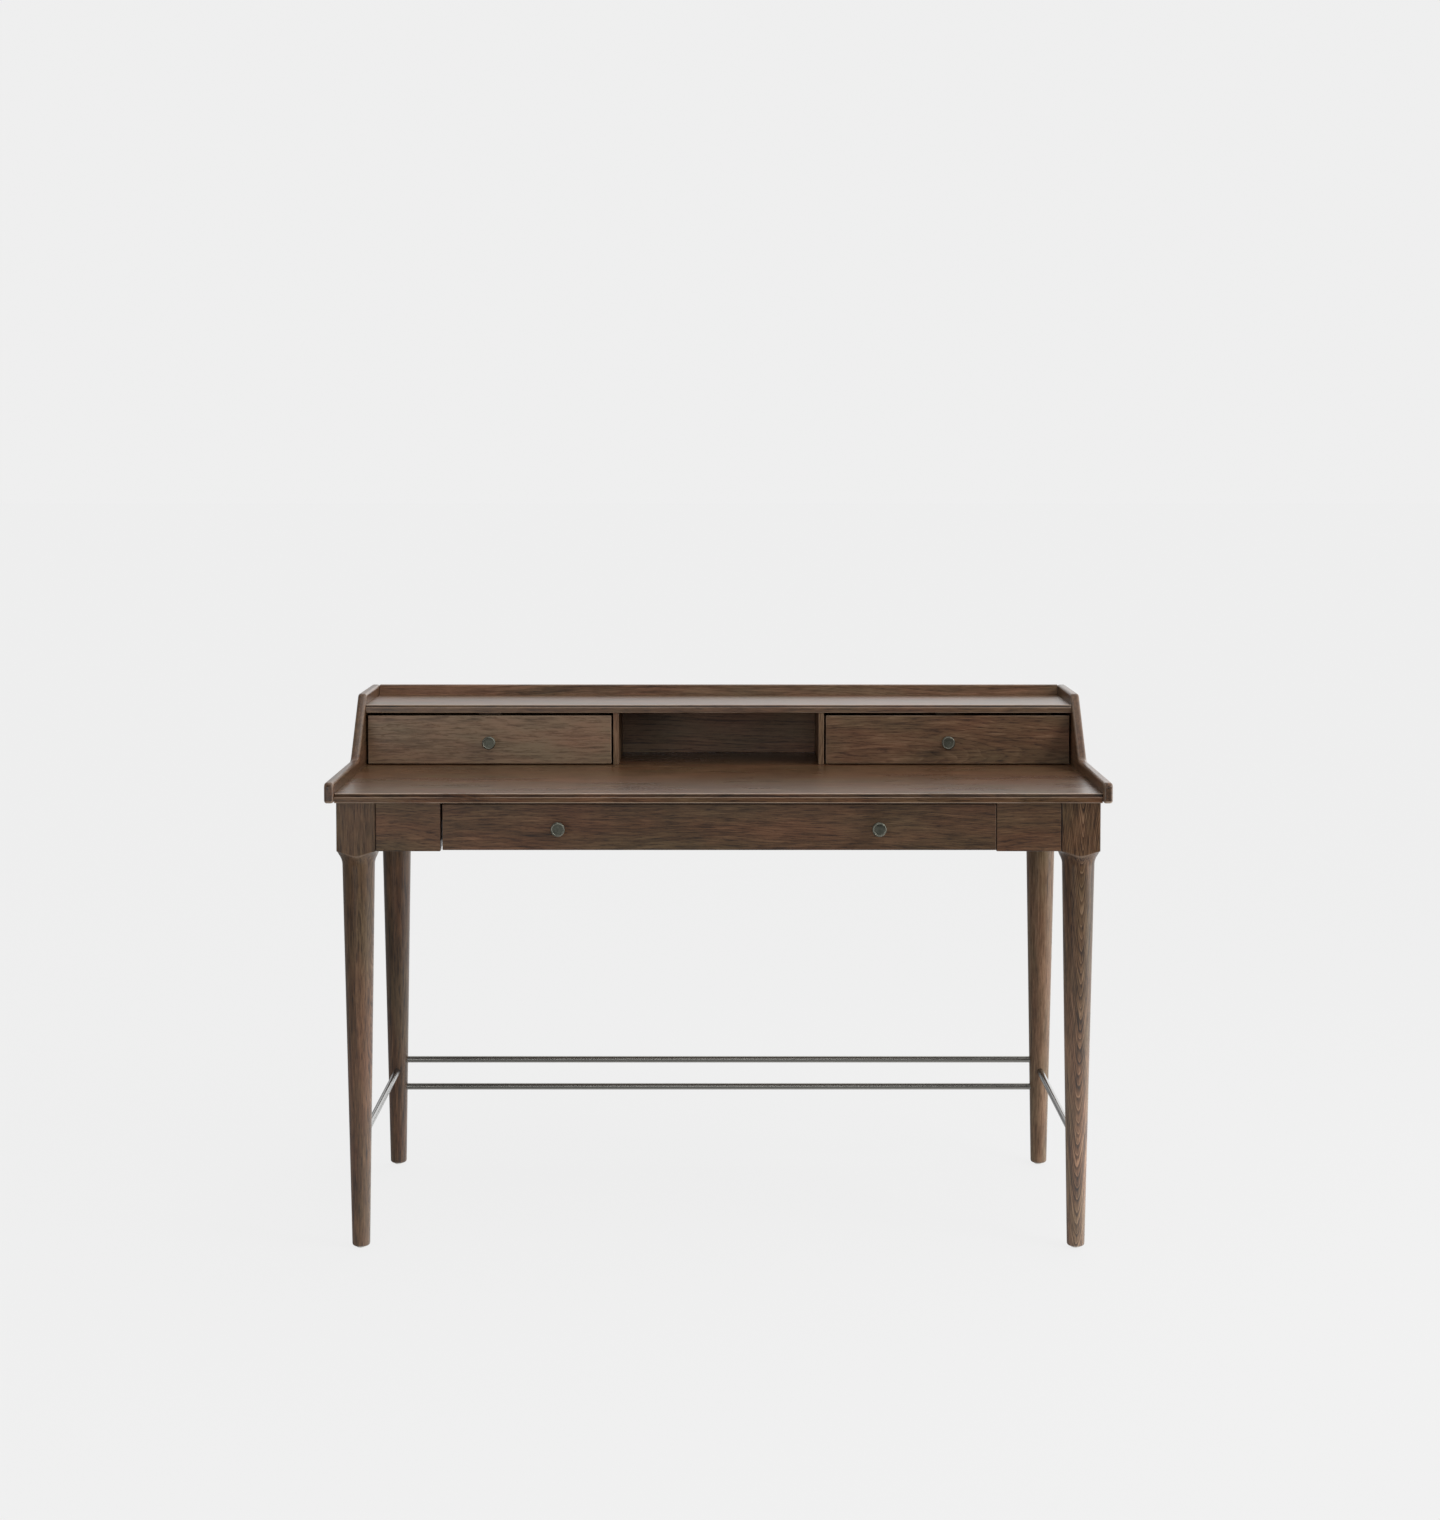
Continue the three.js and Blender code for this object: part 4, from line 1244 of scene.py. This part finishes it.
# %% Sky
DARK_END = 0.12
WALL_LIGHT = 0.9
MIDDLE_LIGHT = 1.04
LEAN_TO_RIGHT = 1.9
DARKEST_LEFT = 0.4
BRIGHTEST_RIGHT = 1.7

sky = bpy.data.worlds.new("sky")
sky.use_nodes = True
wire = Wiring(sky.node_tree)
sideways, backwards, upwards = wire.split(wire.node("ShaderNodeTexCoord", {}, {}, "Generated"))
dark_end = wire.step(0 - backwards, 0.30, 0.92) * wire.step(upwards, -0.75, -0.30)
lean_right = wire.node("ShaderNodeClamp", {}, {
    "Value": MIDDLE_LIGHT + sideways * LEAN_TO_RIGHT,
    "Min": DARKEST_LEFT,
    "Max": BRIGHTEST_RIGHT,
})
bright_wall = wire.step(backwards, 0.35, 0.85) * wire.step(upwards, 0.05, 0.40) * WALL_LIGHT
studio = (1 - dark_end * (1 - DARK_END) + bright_wall) * lean_right * PALE
seen = wire.node("ShaderNodeLightPath", {}, {}, "Is Camera Ray")
background = sky.node_tree.nodes["Background"]
wire.fill(background, {"Color": WHITE, "Strength": seen * PALE + (1 - seen) * studio})
bpy.context.scene.world = sky
print("floor and sky at", PALE)

# %% [markdown]
# Five soft boxes shape the desk. The key stands high on the right, and its shadows fall to the left. One
# low on the left puts a thin veil of light on the faces turned that way, and one low on the right reaches
# the legs. The box in front lights the fronts, and a weak one hangs above.

# %% Soft boxes
def soft_box(name, place, aim, size, power):
    lamp = bpy.data.lights.new(name, "AREA")
    lamp.shape = "SQUARE"
    lamp.size = size
    lamp.energy = power
    stand = add_object(name, lamp)
    stand.location = place
    stand.rotation_euler = (Vector(aim) - Vector(place)).to_track_quat("-Z", "Y").to_euler()


soft_box("key_soft_box", (2.2, -1.3, 2.2), (0.1, 0.1, 0.7), 0.9, 26.0)
soft_box("veil_soft_box", (-1.7, -3.2, 0.8), (-0.1, 0.0, 0.7), 1.2, 18.0)
soft_box("top_soft_box", (-0.3, -0.2, 2.3), (-0.1, 0.3, 0.8), 1.0, 5.0)
soft_box("front_soft_box", (0.1, -3.8, 1.75), (0.0, 0.4, 0.8), 1.4, 18.0)
soft_box("low_side_soft_box", (3.0, -0.3, 0.5), (0.4, 0.1, 0.3), 0.9, 16.0)

# %% [markdown]
# The finished desk must be exactly as large as the plain one. Both boxes are measured, and how far the
# size grew is printed.

# %% Sizes and the end
looks_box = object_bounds()
growth = (looks_box[1] - looks_box[0]) - (cad_box[1] - cad_box[0])
print("grown by", rounded(growth))
